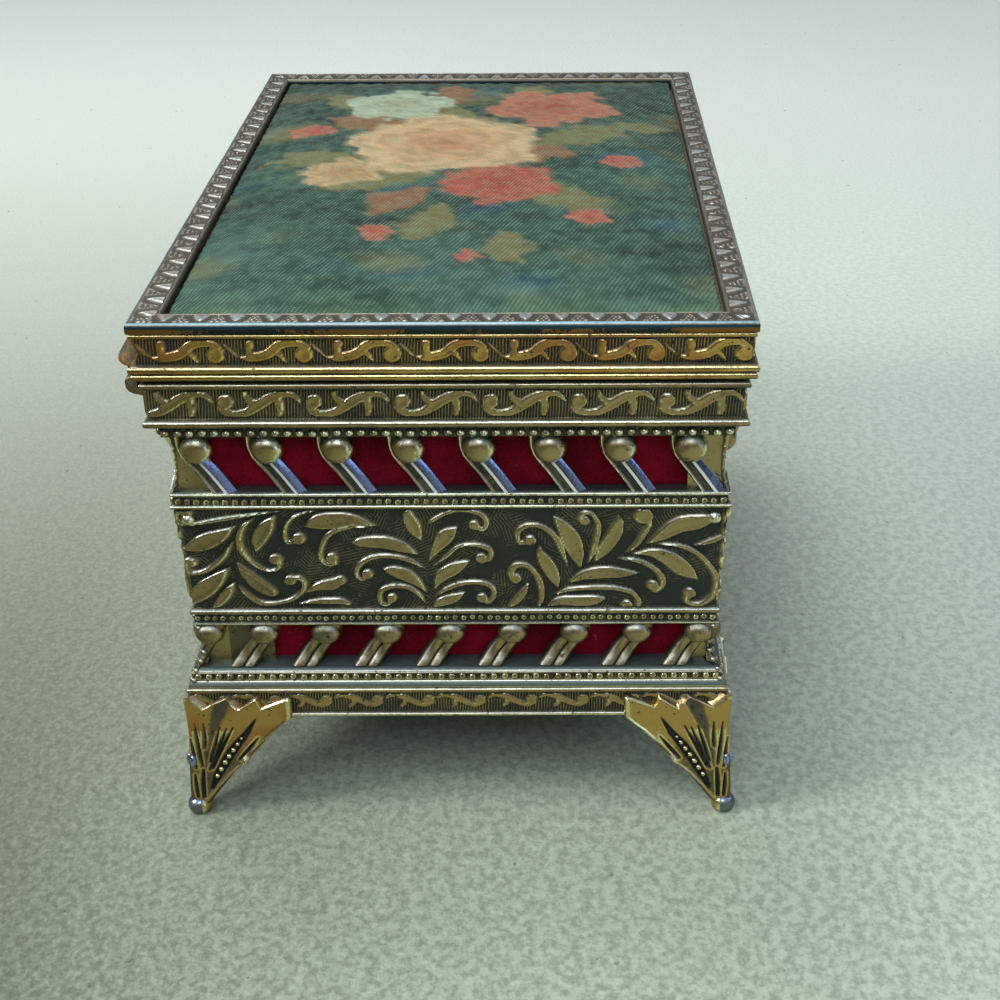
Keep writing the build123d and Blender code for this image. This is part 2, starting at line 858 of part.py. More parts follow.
# The rear section plane's x runs to the left as seen from the front
left_hinge_middle = half_length - hinge_station
right_hinge_middle = -left_hinge_middle
case_hinge_leaf_left = make_case_leaf(left_hinge_middle)
case_hinge_leaf_right = make_case_leaf(right_hinge_middle)
lid_hinge_ear_left = make_lid_ear(left_hinge_middle)
lid_hinge_ear_right = make_lid_ear(right_hinge_middle)
hinge_pin_left = make_hinge_pin(left_hinge_middle)
hinge_pin_right = make_hinge_pin(right_hinge_middle)

pieces = {
    "lid_frame": lid_frame.part,
    "lid_picture_pad": lid_picture_pad.part,
    "lid_board": lid_board.part,
    "lid_lining_pad": lid_lining_pad,
    "lid_hinge_ear_left": lid_hinge_ear_left,
    "lid_hinge_ear_right": lid_hinge_ear_right,
    "rim_frame": rim_frame.part,
    "front_wall": front_wall,
    "rear_wall": rear_wall.part,
    "left_end_wall": left_end_wall,
    "right_end_wall": right_end_wall.part,
    "base_frame": base_frame.part,
    "foot_front_left": foot_front_left.part,
    "foot_front_right": foot_front_right.part,
    "foot_rear_left": foot_rear_left.part,
    "foot_rear_right": foot_rear_right.part,
    "bottom_plate": bottom_plate.part,
    "bottom_tabs": bottom_tabs.part,
    "floor_board": floor_board.part,
    "floor_pad": floor_pad,
    "front_lining": front_lining,
    "rear_lining": rear_lining,
    "left_lining": left_lining,
    "right_lining": right_lining,
    "case_hinge_leaf_left": case_hinge_leaf_left,
    "case_hinge_leaf_right": case_hinge_leaf_right,
    "hinge_pin_left": hinge_pin_left,
    "hinge_pin_right": hinge_pin_right,
}
for name, piece in pieces.items():
    piece.label = name
    export_step(piece, f"parts/{name}.step")
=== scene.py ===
# A footed trinket box of cast gilt metal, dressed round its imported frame. The file follows the box as it
# is put together: the table it stands on, the base and feet, the four walls, the rim, the velvet, and last
# the lid. Sizes are in millimetres; a face is worked in (run, inset, height): the run goes to the right as
# seen from outside, and the inset goes inwards from the plane of the lid's flange.

import math
from collections import namedtuple

import bpy
import numpy as np
from mathutils import Matrix, Vector


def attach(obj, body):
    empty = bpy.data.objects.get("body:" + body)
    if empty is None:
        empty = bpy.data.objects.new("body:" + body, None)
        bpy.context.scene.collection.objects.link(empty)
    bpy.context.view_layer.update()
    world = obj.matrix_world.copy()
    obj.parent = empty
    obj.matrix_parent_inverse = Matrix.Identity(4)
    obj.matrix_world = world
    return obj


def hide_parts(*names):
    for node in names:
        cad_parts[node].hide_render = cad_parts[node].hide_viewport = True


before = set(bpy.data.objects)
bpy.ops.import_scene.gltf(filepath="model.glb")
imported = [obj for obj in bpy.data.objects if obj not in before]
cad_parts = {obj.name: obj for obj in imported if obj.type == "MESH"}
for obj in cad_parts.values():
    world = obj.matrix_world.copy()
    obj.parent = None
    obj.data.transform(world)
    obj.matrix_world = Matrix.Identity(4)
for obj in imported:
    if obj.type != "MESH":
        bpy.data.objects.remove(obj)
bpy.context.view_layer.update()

scene = bpy.context.scene
scene.view_settings.view_transform = "Standard"


# The camera stands close to one short end and looks down on it a little, as in the picture. Its place and
# turn come from the lid's four corners and the levels of the near end.
camera_place = (-0.25846, -0.01509, 0.16754)
camera_right = Vector((-0.00133, -0.99999, -0.00384)).normalized()
camera_up = Vector((0.46853, -0.00402, 0.88344)).normalized()
lens = bpy.data.cameras.new("camera")
lens.lens = 58.06
lens.sensor_width = 36
lens.shift_x = -0.056
lens.shift_y = -0.05
lens.clip_start = 0.01
camera = bpy.data.objects.new("camera", lens)
scene.collection.objects.link(camera)
camera_back = camera_right.cross(camera_up)
camera_turn = Matrix((camera_right, camera_back.cross(camera_right), camera_back)).transposed()
camera.matrix_world = Matrix.Translation(camera_place) @ camera_turn.to_4x4()
scene.camera = camera


class Wire:
    """A socket in a material. Sums on it, with numbers or other wires, add their Math nodes."""

    def __init__(self, tree, socket):
        self.tree, self.socket = tree, socket

    def maths(self, operation, first, second=0.0):
        node = self.tree.nodes.new("ShaderNodeMath")
        node.operation = operation
        for entry, value in zip(node.inputs, (first, second)):
            if isinstance(value, Wire):
                self.tree.links.new(value.socket, entry)
            else:
                entry.default_value = value
        return Wire(self.tree, node.outputs[0])

    def __add__(self, other):
        return self.maths("ADD", self, other)

    def __sub__(self, other):
        return self.maths("SUBTRACT", self, other)

    def __rsub__(self, other):
        return self.maths("SUBTRACT", other, self)

    def __mul__(self, other):
        return self.maths("MULTIPLY", self, other)

    def __pow__(self, other):
        return self.maths("POWER", self, other)

    __radd__ = __add__
    __rmul__ = __mul__

    def sine(self):
        return self.maths("SINE", self)

    def cosine(self):
        return self.maths("COSINE", self)


class Finish:
    """A material in the making: node() adds any node, and paint() sets the surface shader's sockets."""

    def __init__(self, name):
        self.material = bpy.data.materials.new(name)
        self.material.use_nodes = True
        self.tree = self.material.node_tree
        self.surface = self.tree.nodes["Principled BSDF"]

    def feed(self, entry, value):
        if isinstance(value, Wire):
            self.tree.links.new(value.socket, entry)
        elif entry.type == "RGBA":
            entry.default_value = (*value, 1.0)
        else:
            entry.default_value = value

    def node(self, kind, settings=(), sockets=(), out=0):
        made = self.tree.nodes.new("ShaderNode" + kind)
        for name, value in dict(settings).items():
            setattr(made, name, value)
        for name, value in dict(sockets).items():
            self.feed(made.inputs[name], value)
        return Wire(self.tree, made.outputs[out])

    def place(self):
        """Where the point is on the box, in metres."""
        return self.node("TexCoord", out=3)

    def normal(self):
        """The way the surface faces, bumps apart."""
        return self.node("TexCoord", out=1)

    def wear_and_painted_light(self):
        """How far the casting is worn here, with painted light in it too: 0 in the dark, 1 on the gilt."""
        return self.node("Attribute", {"attribute_name": "wear_and_painted_light"}, out=2)

    def axis(self, where, number):
        """One coordinate of a place or a direction: 0 is x, 1 is y and 2 is z."""
        return self.node("SeparateXYZ", sockets={0: where}, out=number)

    def noise(self, scale, detail=3):
        """Cloudy noise from 0 to 1, with about `scale` clouds to the metre."""
        sockets = {"Vector": self.place(), "Scale": scale, "Detail": detail, "Roughness": 0.6}
        return self.node("TexNoise", sockets=sockets)

    def step(self, value, low, high):
        """0 below low, 1 above high, and a smooth climb between."""
        return self.node("MapRange", {"interpolation_type": "SMOOTHSTEP"}, {0: value, 1: low, 2: high})

    def blend(self, share, under, over):
        """The colour `under`, covered by `over` as far as share says."""
        return self.node("Mix", {"data_type": "RGBA"}, {0: share, 6: under, 7: over}, out=2)

    def coats(self, colour, *layers):
        """A colour under layers of others, each given as (share, colour) and laid over those before it."""
        for share, over in layers:
            colour = self.blend(share, colour, over)
        return colour

    def bump(self, height, depth, below=None):
        """A bumped normal; height is 0 to 1 and depth is in metres."""
        sockets = {"Height": height, "Distance": depth, "Strength": 1.0}
        if below is not None:
            sockets["Normal"] = below
        return self.node("Bump", sockets=sockets)

    def paint(self, **sockets):
        for name, value in sockets.items():
            self.feed(self.surface.inputs[name.replace("_", " ")], value)
        return self.material


def new_mesh(name, points, corners, sizes):
    """A mesh from its points, the corners of all its faces in one row, and each face's count of corners."""
    mesh = bpy.data.meshes.new(name)
    mesh.vertices.add(len(points))
    mesh.vertices.foreach_set("co", np.asarray(points, np.float32).ravel())
    mesh.loops.add(len(corners))
    mesh.loops.foreach_set("vertex_index", np.asarray(corners, np.int32))
    mesh.polygons.add(len(sizes))
    starts = np.concatenate([[0], np.cumsum(sizes)[:-1]])
    mesh.polygons.foreach_set("loop_start", starts.astype(np.int32))
    mesh.update(calc_edges=True)
    return mesh


# The table: pale grey-green card, with a mottling, fine fibres and dark specks in it. It is painted lighter
# further off and on the right, a painted light, and duller on the left, a painted shadow of the box.
table_reach = 3.0
table_corners = np.array([(-1, -1, 0), (1, -1, 0), (1, 1, 0), (-1, 1, 0)]) * table_reach
table = bpy.data.objects.new("table", new_mesh("table", table_corners, np.arange(4), [4]))
scene.collection.objects.link(table)
card_table = Finish("table_card")
# distance: the share of a painted light that makes the card paler further off
distance = card_table.step(card_table.axis(card_table.place(), 0), -0.15, 0.4)
across = card_table.axis(card_table.place(), 1)
# pale: a painted light on the right side; the other mask: a painted shadow of the box on the left, where the
# fibres show less
pale, left_painted_shade = card_table.step(across, -0.03, -0.10), card_table.step(across, -0.02, 0.09)
light_card = card_table.coats((0.50, 0.59, 0.46), (pale, (0.55, 0.64, 0.55)), (left_painted_shade, (0.115, 0.134, 0.080)))
dark_card = card_table.coats((0.30, 0.365, 0.27), (pale, (0.37, 0.44, 0.37)), (left_painted_shade, (0.076, 0.090, 0.050)))
mottling = card_table.step(card_table.noise(600, 5), 0.38, 0.62)
far_card_painted_light = card_table.blend(card_table.noise(8), (0.84, 0.92, 0.82), (0.90, 0.97, 0.88))
fibres = card_table.step(card_table.noise(1100, 5), 0.40, 0.66)
specks = card_table.step(card_table.noise(420, 2), 0.72, 0.76)
table.data.materials.append(card_table.paint(
    Base_Color=card_table.coats(
        dark_card, (mottling, light_card), (distance, far_card_painted_light),
        (fibres * (0.36 - left_painted_shade * 0.25), (0.70, 0.77, 0.65)), (specks * 0.55, (0.07, 0.075, 0.06)),
    ),
    Roughness=0.85,
    Normal=card_table.bump(fibres, 0.00006),
))


# The light: a pale room, a window to the left of the box, a lamp above and a little behind it, a wide glow
# in front, a weaker bluish window on the right, and a low one there whose glints show on the bars.
room = bpy.data.worlds.new("room")
room.use_nodes = True
scene.world = room
sky = room.node_tree.nodes["Background"]
direction = room.node_tree.nodes.new("ShaderNodeTexCoord")
parts_of = room.node_tree.nodes.new("ShaderNodeSeparateXYZ")
height_shade = room.node_tree.nodes.new("ShaderNodeValToRGB")
room_shades = ((0.20, (0.06, 0.07, 0.07, 1)), (0.62, (0.74, 0.80, 0.86, 1)))
for element, (level, shade) in zip(height_shade.color_ramp.elements, room_shades):
    element.position, element.color = level, shade
room.node_tree.links.new(direction.outputs["Generated"], parts_of.inputs[0])
room.node_tree.links.new(parts_of.outputs[2], height_shade.inputs[0])
room.node_tree.links.new(height_shade.outputs[0], sky.inputs["Color"])
sky.inputs["Strength"].default_value = 0.62


box_middle = Vector((0, 0, 0.04))


def soft_lamp(name, place, size, power, colour):
    """A square area lamp at a place, turned towards the middle of the box."""
    light = bpy.data.lights.new(name, "AREA")
    light.size = size
    light.energy = power
    light.color = colour
    lamp = bpy.data.objects.new(name, light)
    lamp.location = place
    lamp.rotation_euler = (Vector(place) - box_middle).to_track_quat("Z", "Y").to_euler()
    scene.collection.objects.link(lamp)


soft_lamp("window", (-0.18, 0.56, 0.50), 0.22, 2.5, (1.0, 0.99, 0.94))
soft_lamp("ceiling", (0.20, 0.12, 0.62), 0.24, 1.3, (1.0, 0.99, 0.95))
soft_lamp("front_glow", (-0.46, 0.06, 0.58), 0.34, 1.15, (0.96, 0.99, 1.0))
soft_lamp("right_window", (0.02, -0.56, 0.48), 0.30, 0.25, (0.80, 0.90, 1.0))
soft_lamp("side_glow", (-0.38, -0.42, 0.13), 0.20, 0.20, (0.55, 0.70, 1.0))


# The base: one casting with a bright lower edge, an apron of running scrolls, a bright edge, a plain cove
# and a channel of beads, and inside it the shelf that carries the floor. Cast, gilded and darkened. Here and
# below, heights count from the datum, the top of the toe pads that the feet stand on.
half_length = 63.0
half_width = 42.0
datum = 1.3
half_runs = (half_length, half_width, half_length, half_width)


def on_side(side, shape):
    """(run, inset, height) on the front, right, rear or left side (0 to 3), turned into metres. A side
    stands off the middle by the half run of the sides beside it."""
    run, inset, height = shape[..., 0], shape[..., 1], shape[..., 2]
    across = half_runs[side - 1] - inset
    x, y = (run, -across) if side == 0 else (across, run) if side == 1 else \
        (-run, across) if side == 2 else (-across, -run)
    return np.stack([x, y, height + datum], -1) / 1000


def tube(loops, wear_and_painted_light, ringed=False):
    """A closed shell over loops of points (loop, point, 3): each loop is joined to the next, and the first
    and last are capped, or joined to each other if it is ringed. wear is 0 in the dark, 1 on the gilt."""
    count, size = loops.shape[:2]
    row = np.arange(count if ringed else count - 1)[:, None]
    turn = np.arange(size)[None, :]
    after, beside = (row + 1) % count, (turn + 1) % size
    quads = np.stack([row * size + turn, after * size + turn, after * size + beside, row * size + beside], -1)
    corners, sizes = [quads.ravel()], [np.full(quads.shape[0] * size, 4)]
    if not ringed:
        corners += [np.arange(size)[::-1], np.arange(size) + (count - 1) * size]
        sizes += [[size, size]]
    wear_and_painted_light = np.broadcast_to(wear_and_painted_light, loops.shape[:2])
    return loops.reshape(-1, 3), np.concatenate(corners), np.concatenate(sizes), wear_and_painted_light.ravel()


def scatter(part, centres):
    """Copies of a small part at many centres."""
    points, corners, sizes, wear_and_painted_light = part
    count = len(centres)
    moved = (points[None] + np.asarray(centres)[:, None]).reshape(-1, 3)
    shifted = (corners[None] + np.arange(count)[:, None] * len(points)).ravel()
    return moved, shifted, np.tile(sizes, count), np.tile(wear_and_painted_light, count)


sharp_angle = math.radians(48)


def casting(name, parts, finish, body, node):
    """One piece from its parts, each (points in metres, corners, sizes, wear, run and height per point)."""
    points, corners, sizes, wear_and_painted_light, sheet = zip(*parts)
    starts = np.cumsum([0] + [len(some) for some in points])
    corners = np.concatenate([some + start for some, start in zip(corners, starts)])
    mesh = new_mesh(name, np.concatenate(points), corners, np.concatenate(sizes))
    face = mesh.uv_layers.new(name="face")
    face.data.foreach_set("uv", np.concatenate(sheet)[corners].astype(np.float32).ravel())
    shown = mesh.attributes.new("wear_and_painted_light", "FLOAT", "POINT")
    shown.data.foreach_set("value", np.concatenate(wear_and_painted_light).astype(np.float32))
    mesh.shade_smooth()
    mesh.set_sharp_from_angle(angle=sharp_angle)
    mesh.materials.append(finish)
    piece = bpy.data.objects.new(name, mesh)
    scene.collection.objects.link(piece)
    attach(piece, body)
    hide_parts(node)


def outwards(points, corners, sizes):
    """The corners, turned round if the closed shell's faces look inwards (its volume is negative)."""
    starts = np.concatenate([[0], np.cumsum(sizes)[:-1]])
    quads = corners[starts[sizes == 4][:, None] + np.arange(4)]
    a, b, c, d = (points[quads[:, i]] for i in range(4))
    centre = points.mean(0)
    volume = np.einsum("ij,ij->", a - centre, np.cross(b - centre, c - centre))
    volume += np.einsum("ij,ij->", a - centre, np.cross(c - centre, d - centre))
    if volume > 0:
        return corners
    ends = np.repeat(starts + sizes - 1, sizes)
    return corners[ends - (np.arange(len(corners)) - np.repeat(starts, sizes))]


def faced(part, side):
    """A part worked in (run, inset, height), put on its side of the box, with its run and height kept."""
    points, corners, sizes, wear_and_painted_light = part
    placed = on_side(side, points)
    sheet = np.stack([points[:, 0], points[:, 2] + points[:, 1]], -1)
    return placed, outwards(placed, corners, sizes), sizes, wear_and_painted_light, sheet


usual_rows, usual_radius = 1, 0.13


def rounded(corners):
    """A closed section from corners (inset, height, wear[, rows[, radius]]). Each corner becomes an arc of
    three points, or stays sharp where its wear is 0; rows are put in evenly up to the next corner. Gives
    the points, their wear, and the count of the rowed stretch that each belongs to, or -1."""
    place = np.array([corner[:2] for corner in corners], float)
    points, wear_and_painted_light, stretch = [], [], []
    count = 0
    for i, corner in enumerate(corners):
        shine, rows, bend = (*corner[2:], *(usual_rows, usual_radius)[len(corner) - 3:])
        here, last, following = place[i], place[i - 1], place[(i + 1) % len(place)]
        before, after = np.linalg.norm(here - last), np.linalg.norm(following - here)
        cut_in, cut_out = min(bend, 0.4 * before), min(bend, 0.4 * after)
        if shine == 0 or bend == 0:
            arc = [here]
        else:
            start, end = here + (last - here) / before * cut_in, here + (following - here) / after * cut_out
            arc = [start, (start + end) / 4 + here / 2, end]
        points += arc
        wear_and_painted_light += [shine] * len(arc)
        stretch += [-1] * len(arc)
        if rows > 1:
            share = np.arange(1, rows)[:, None] / rows
            points += list(arc[-1] + (following - arc[-1]) * share)
            wear_and_painted_light += [shine] * (rows - 1)
            stretch += [count] * (rows - 1)
            count += 1
    return np.array(points), np.array(wear_and_painted_light, float), np.array(stretch)


def half_round(inset, height, radius, shine=1.0):
    """Six corners of a round moulding that stands out of a face, from its foot up: its underside keeps its
    patina, and its paler upper side is partly a painted highlight.
    """
    turns = np.radians([-75, -42, -8, 22, 50, 75])
    return [(inset - radius * math.cos(t), height + radius * math.sin(t), shine * share, 1, 0)
            for t, share in zip(turns, (0.2, 0.4, 0.62, 0.95, 1.05, 0.4))]


def side_normals(section):
    """The outward direction at each point of a closed section: square to the line through its neighbours."""
    line = np.roll(section, -1, 0) - np.roll(section, 1, 0)
    area = np.sum(section[:, 0] * np.roll(section[:, 1], -1) - np.roll(section[:, 0], -1) * section[:, 1])
    out = np.stack([line[:, 1], -line[:, 0]], -1) * np.sign(area)
    return out / np.linalg.norm(out, axis=1, keepdims=True)


def unevenness(run, height, seed):
    """The small waves of a hand-finished casting, from -1 to 1: a sum of slow sines."""
    chance = np.random.default_rng(seed)
    total = np.zeros_like(run)
    for _ in range(5):
        pace = chance.uniform(0.15, 0.9, 2) * chance.choice([-1, 1], 2)
        total += np.sin(run * pace[0] + height * pace[1] + chance.uniform(0, 6.3))
    return total / 5


def run_columns(section, wear_and_painted_light, stretch, half_run, columns, carvings, seed, closed):
    """A section carried along one side, between its two mitres. Where a stretch of rows is carved, the
    carving gives (rise in mm, wear) from the run and the height above the stretch's foot."""
    share = np.linspace(-1, 1, columns + 1)[: columns if closed else columns + 1, None]
    inset, height = section[:, 0], section[:, 1]
    run = share * (half_run - inset)
    rise = 0.035 * unevenness(run, np.broadcast_to(height, run.shape), seed)
    rise = rise * np.minimum(1, (half_run - inset - np.abs(run)) / 2)
    shine = np.broadcast_to(wear_and_painted_light, run.shape).copy()
    for number, carving in enumerate(carvings):
        rows = np.nonzero(stretch == number)[0]
        foot = section[rows[0]] if section[rows[0], 1] <= section[rows[-1], 1] else section[rows[-1]]
        climb = np.linalg.norm(section[rows] - foot, axis=1)
        lift, gilt_share = carving(run[:, rows], np.broadcast_to(climb, run[:, rows].shape))
        fade = np.clip((half_run - inset[rows] - np.abs(run[:, rows])) / 0.5, 0, 1)
        rise[:, rows] += lift * fade
        shine[:, rows] = gilt_share
    out = side_normals(section)
    inset_now = inset + out[:, 0] * rise
    shape = np.stack([share * (half_run - inset_now), inset_now, height + out[:, 1] * rise], -1)
    return shape, shine


def carried_round(section_parts, carvings=(), pitch=0.24, seed=1):
    """A closed section carried round all four sides, as one ring with mitred corners."""
    section, wear_and_painted_light, stretch = section_parts
    points, shown, sheet = [], [], []
    start = 0
    for side in range(4):
        half_run = half_runs[side]
        columns = round(2 * half_run / pitch)
        shape, shine = run_columns(section, wear_and_painted_light, stretch, half_run, columns, carvings, seed + side, True)
        points.append(on_side(side, shape))
        shown.append(shine)
        sheet.append(np.stack([shape[..., 0] + start, shape[..., 2] + shape[..., 1]], -1))
        start += 2 * half_run
    loops = np.concatenate(points)
    flat, corners, sizes, shine = tube(loops, np.concatenate(shown), ringed=True)
    return flat, outwards(flat, corners, sizes), sizes, shine, np.concatenate(sheet).reshape(-1, 2)


def smooth_line(knots, steps=6):
    """A Catmull-Rom curve through knots (run, height, half width)."""
    knots = np.asarray(knots, float)
    full = np.concatenate([2 * knots[:1] - knots[1:2], knots, 2 * knots[-1:] - knots[-2:-1]])
    share = np.linspace(0, 1, steps, endpoint=False)[:, None]
    pieces = []
    for a, b, c, d in zip(full, full[1:], full[2:], full[3:]):
        pieces.append(b + 0.5 * share * (c - a + share * (2 * a - 5 * b + 4 * c - d
                      + share * (3 * (b - c) + d - a))))
    return np.concatenate(pieces + [knots[-1:]])


def depth_inside(strokes, run, height):
    """How far each point is inside the outline of a set of strokes, negative outside: the half width of
    the nearest stroke there less the distance from its middle line."""
    far_outside, margin = -3.0, 1.3
    depth = np.full(run.shape, far_outside)
    for stroke in strokes:
        line = smooth_line(stroke)
        low, high = line[:, :2].min(0) - margin, line[:, :2].max(0) + margin
        near = (run > low[0]) & (run < high[0]) & (height > low[1]) & (height < high[1])
        if not near.any():
            continue
        point = np.stack([run[near], height[near]], -1)[:, None]
        first, reach = line[:-1], line[1:] - line[:-1]
        length = np.maximum((reach[:, :2] ** 2).sum(-1), 1e-6)
        share = np.clip(((point - first[:, :2]) * reach[:, :2]).sum(-1) / length, 0, 1)
        spot = first + share[..., None] * reach
        inside = spot[..., 2] - np.linalg.norm(point - spot[..., :2], axis=-1)
        depth[near] = np.maximum(depth[near], inside.max(1))
    return depth


def raised(depth, edge=0.34):
    """A relief from 0 to 1: a quarter-round edge rises over `edge` mm, and wide strokes are dished."""
    inner = np.clip(depth / edge, 0, 1)
    return np.sqrt(1 - (1 - inner) ** 2) - 0.22 * np.clip((depth - edge) / 0.5, 0, 1)


def rubbed(depth, rim=0.15):
    """Wear over a relief: dark ground, gilt flats, and the brightest rub `rim` mm inside the outline, which
    on narrow strokes lies along the crest and is partly a painted highlight.
    """
    return 0.66 * np.clip((depth + 0.02) / 0.16, 0, 1) + 0.5 * np.exp(-((depth - rim) / 0.1) ** 2)


def running(unit, pitch, height, phase):
    """A carving of one unit of strokes, repeated along the run at a pitch. The unit is looked for from its
    two neighbours' places as well, as its strokes reach past its ends."""
    def carving(run, climb):
        along_unit = np.mod(run + phase, pitch)
        depth = np.max([depth_inside(unit, along_unit + shift, climb) for shift in (-pitch, 0, pitch)], 0)
        return height * raised(depth), rubbed(depth)
    return carving


def stretched(strokes, taller, wider, lower=0.0):
    """Strokes with their heights and half widths scaled, and moved down."""
    return [np.array(stroke) * (1, taller, wider) - (0, lower, 0) for stroke in strokes]


bead_turns = np.linspace(0, 2 * np.pi, 12, endpoint=False)


def bead(radius, dimpled=False):
    """A small domed bead on a face: three loops of twelve points, and a flat tip, which a dimpled one has
    lower and dark."""
    tip, shine = (0.5, 0.5) if dimpled else (0.86, 1.0)
    reach, out = np.array([(1.0, -0.4), (0.97, 0.15), (0.68, 0.62), (0.22, tip)]).T[..., None]
    loops = np.stack([reach * np.cos(bead_turns), -out + 0 * bead_turns, reach * np.sin(bead_turns)], -1)
    return tube(loops * radius, np.array([[0.1], [0.75], [1.2], [shine]]))


def bead_row(side, pitch, radius, inset, height, dimpled=True):
    """A row of beads along a side, spread evenly between the mitres, each worn a little differently."""
    half_run = half_runs[side] - inset
    count = round(2 * half_run / pitch)
    places = (np.arange(count) + 0.5) / count * 2 * half_run - half_run
    chance = np.random.default_rng(round(height * 10) + side)
    wobble = chance.normal(0, 0.05, (count, 3))
    centres = np.stack([places, np.full(count, inset), np.full(count, height)], -1) + wobble
    points, corners, sizes, wear_and_painted_light = scatter(bead(radius, dimpled), centres)
    wear_and_painted_light = (wear_and_painted_light.reshape(count, -1) * chance.uniform(0.8, 1.12, (count, 1))).ravel()
    return faced((points, corners, sizes, wear_and_painted_light), side)


def gilt(name, pitch=0.5, wandering=False, warm=0.0, hatch=0.8, bare=None):
    """Antique gilt: green-black patina in the ground, with fine hatched lines, ochre gilding on the flats
    and pale gold where it is rubbed, which on crests is partly a painted highlight, nicked here and there.
    Faces that look up take a silvery colour, a painted reflection of the pale room; a wear of 1.4 is bare
    steely metal, 1.8 a blue painted reflection and 2.2 a bright, nearly colourless painted highlight. The
    hatching is nearly upright, or turns from patch to patch if it is wandering. warm moves the gold towards
    copper, and round the point bare, in metres, the gilding is rubbed through to it."""
    metal = Finish(name)
    wear_and_painted_light = metal.wear_and_painted_light()
    face = metal.node("UVMap", {"uv_map": "face"})
    run, height = metal.axis(face, 0), metal.axis(face, 1)
    cloud, grain = metal.noise(170, 4), metal.noise(1400, 4)
    nicks = metal.step(metal.noise(1000, 2), 0.64, 0.72)
    if wandering:
        cells = metal.node("TexVoronoi", sockets={"Vector": face, "Scale": 0.30}, out=1)
        turn = metal.node("SeparateColor", sockets={0: cells}) * math.pi
        across = run * turn.cosine() + height * turn.sine()
        patchy = metal.step(cloud + grain * 0.3, 0.58, 0.72)
    else:
        across = run - height * 0.05
        patchy = metal.step(cloud + grain * 0.3, 0.3, 0.7) * 0.7 + 0.3
    lines = (across * (2 * math.pi / pitch) + cloud * 9).sine() * 0.5 + 0.5
    hatched = (1 - metal.step(wear_and_painted_light, 0.02, 0.2)) * patchy * hatch
    shown = wear_and_painted_light + (cloud - 0.5) * 0.6 + (grain - 0.5) * 0.5 + lines ** 3 * hatched - nicks * 0.5
    ground, brown, copper = (0.026, 0.030, 0.023), (0.17, 0.15, 0.088), (0.55, 0.25, 0.08)
    ochre = (0.50 + 0.22 * warm, 0.345 + 0.09 * warm, 0.13 - 0.03 * warm)
    pale = (0.88, 0.84 - 0.10 * warm, 0.46 - 0.22 * warm)
    coppery = metal.step(metal.noise(55, 3), 0.62 - 0.28 * warm, 0.75 - 0.28 * warm)
    gilded = metal.blend(coppery, ochre, copper)
    if bare:
        reach = metal.node("VectorMath", {"operation": "DISTANCE"}, {0: metal.place(), 1: bare}, out=1)
        gilded = metal.blend(1 - metal.step(reach + cloud * 0.006, 0.006, 0.013), gilded, (0.62, 0.27, 0.07))
    # Faces that look up take a silvery colour: a painted reflection of the pale room above.
    upward_painted_reflection = metal.step(metal.axis(metal.normal(), 2), 0.3, 0.85) * metal.step(shown, 0.3, 0.7)
    # From 1.4 bare steely metal; 1.8 is a blue painted reflection and 2.2 a bright, nearly colourless painted
    # highlight.
    steel, blue_painted_reflection, white_painted_glint = (metal.step(wear_and_painted_light, *ends) for ends in ((1.25, 1.38), (1.5, 1.62), (1.95, 2.1)))
    return metal.paint(
        Base_Color=metal.coats(
            ground, (metal.step(shown, 0.05, 0.4), brown), (metal.step(shown, 0.4, 0.7), gilded),
            (metal.step(shown, 0.85, 1.1), pale), (upward_painted_reflection * (0.75 - 0.5 * warm), (0.46, 0.54, 0.54)),
            (steel * 0.9, (0.125, 0.175, 0.19)), (blue_painted_reflection, (0.30, 0.38, 0.62)), (white_painted_glint, (0.95, 0.96, 0.98)),
        ),
        Metallic=metal.step(shown, 0.1, 0.5) * 0.75 + 0.25 - white_painted_glint * 0.75,
        Roughness=(0.60 - metal.step(shown, 0.3, 1.05) * 0.38 + (grain - 0.5) * 0.12
                   + (steel - blue_painted_reflection) * 0.28),
        Normal=metal.bump(lines * hatched, 0.00016, metal.bump(grain, 0.00005)),
    )


apron_unit = (
    ((0.1, 2.3, 0.2), (1.2, 2.8, 0.45), (2.8, 2.4, 0.55), (4.5, 1.45, 0.55), (5.8, 0.95, 0.45),
     (6.6, 1.2, 0.4)),
    ((6.5, 1.75, 0.95), (6.6, 1.85, 0.95)),
    ((2.9, 2.2, 0.4), (2.9, 1.4, 0.42), (2.35, 0.75, 0.3)),
)
base_section = rounded([
    (1.7, 16.3, 0.9), (1.35, 16.45, 1.1), (1.4, 16.8, 1.0), (1.85, 16.95, 0.15, 16), (1.85, 20.5, 0.15),
    *half_round(1.75, 20.95, 0.42, 0.85), (1.65, 21.4, 0.6), (1.72, 21.75, 1.42), (1.98, 22.2, 1.42),
    (2.3, 22.45, 0.6), (2.2, 22.6, 0.5), (2.55, 22.72, 0.1), (2.55, 23.5, 0.1), (2.15, 23.58, 0.4),
    (2.3, 23.9, 0.7), (5.4, 23.9, 0), (5.4, 20.0, 0), (9.4, 20.0, 0), (9.4, 18.5, 0), (3.4, 18.5, 0),
    (3.4, 16.3, 0),
])
apron_gilt = gilt("apron_gilt", pitch=0.42)
casting("base_casting", [
    carried_round(base_section, [running(apron_unit, 7.7, 0.36, 3.2)], pitch=0.335, seed=11),
    *(bead_row(side, 1.6, 0.6, 2.4, 23.12) for side in range(4)),
], apron_gilt, "case", "base_frame")


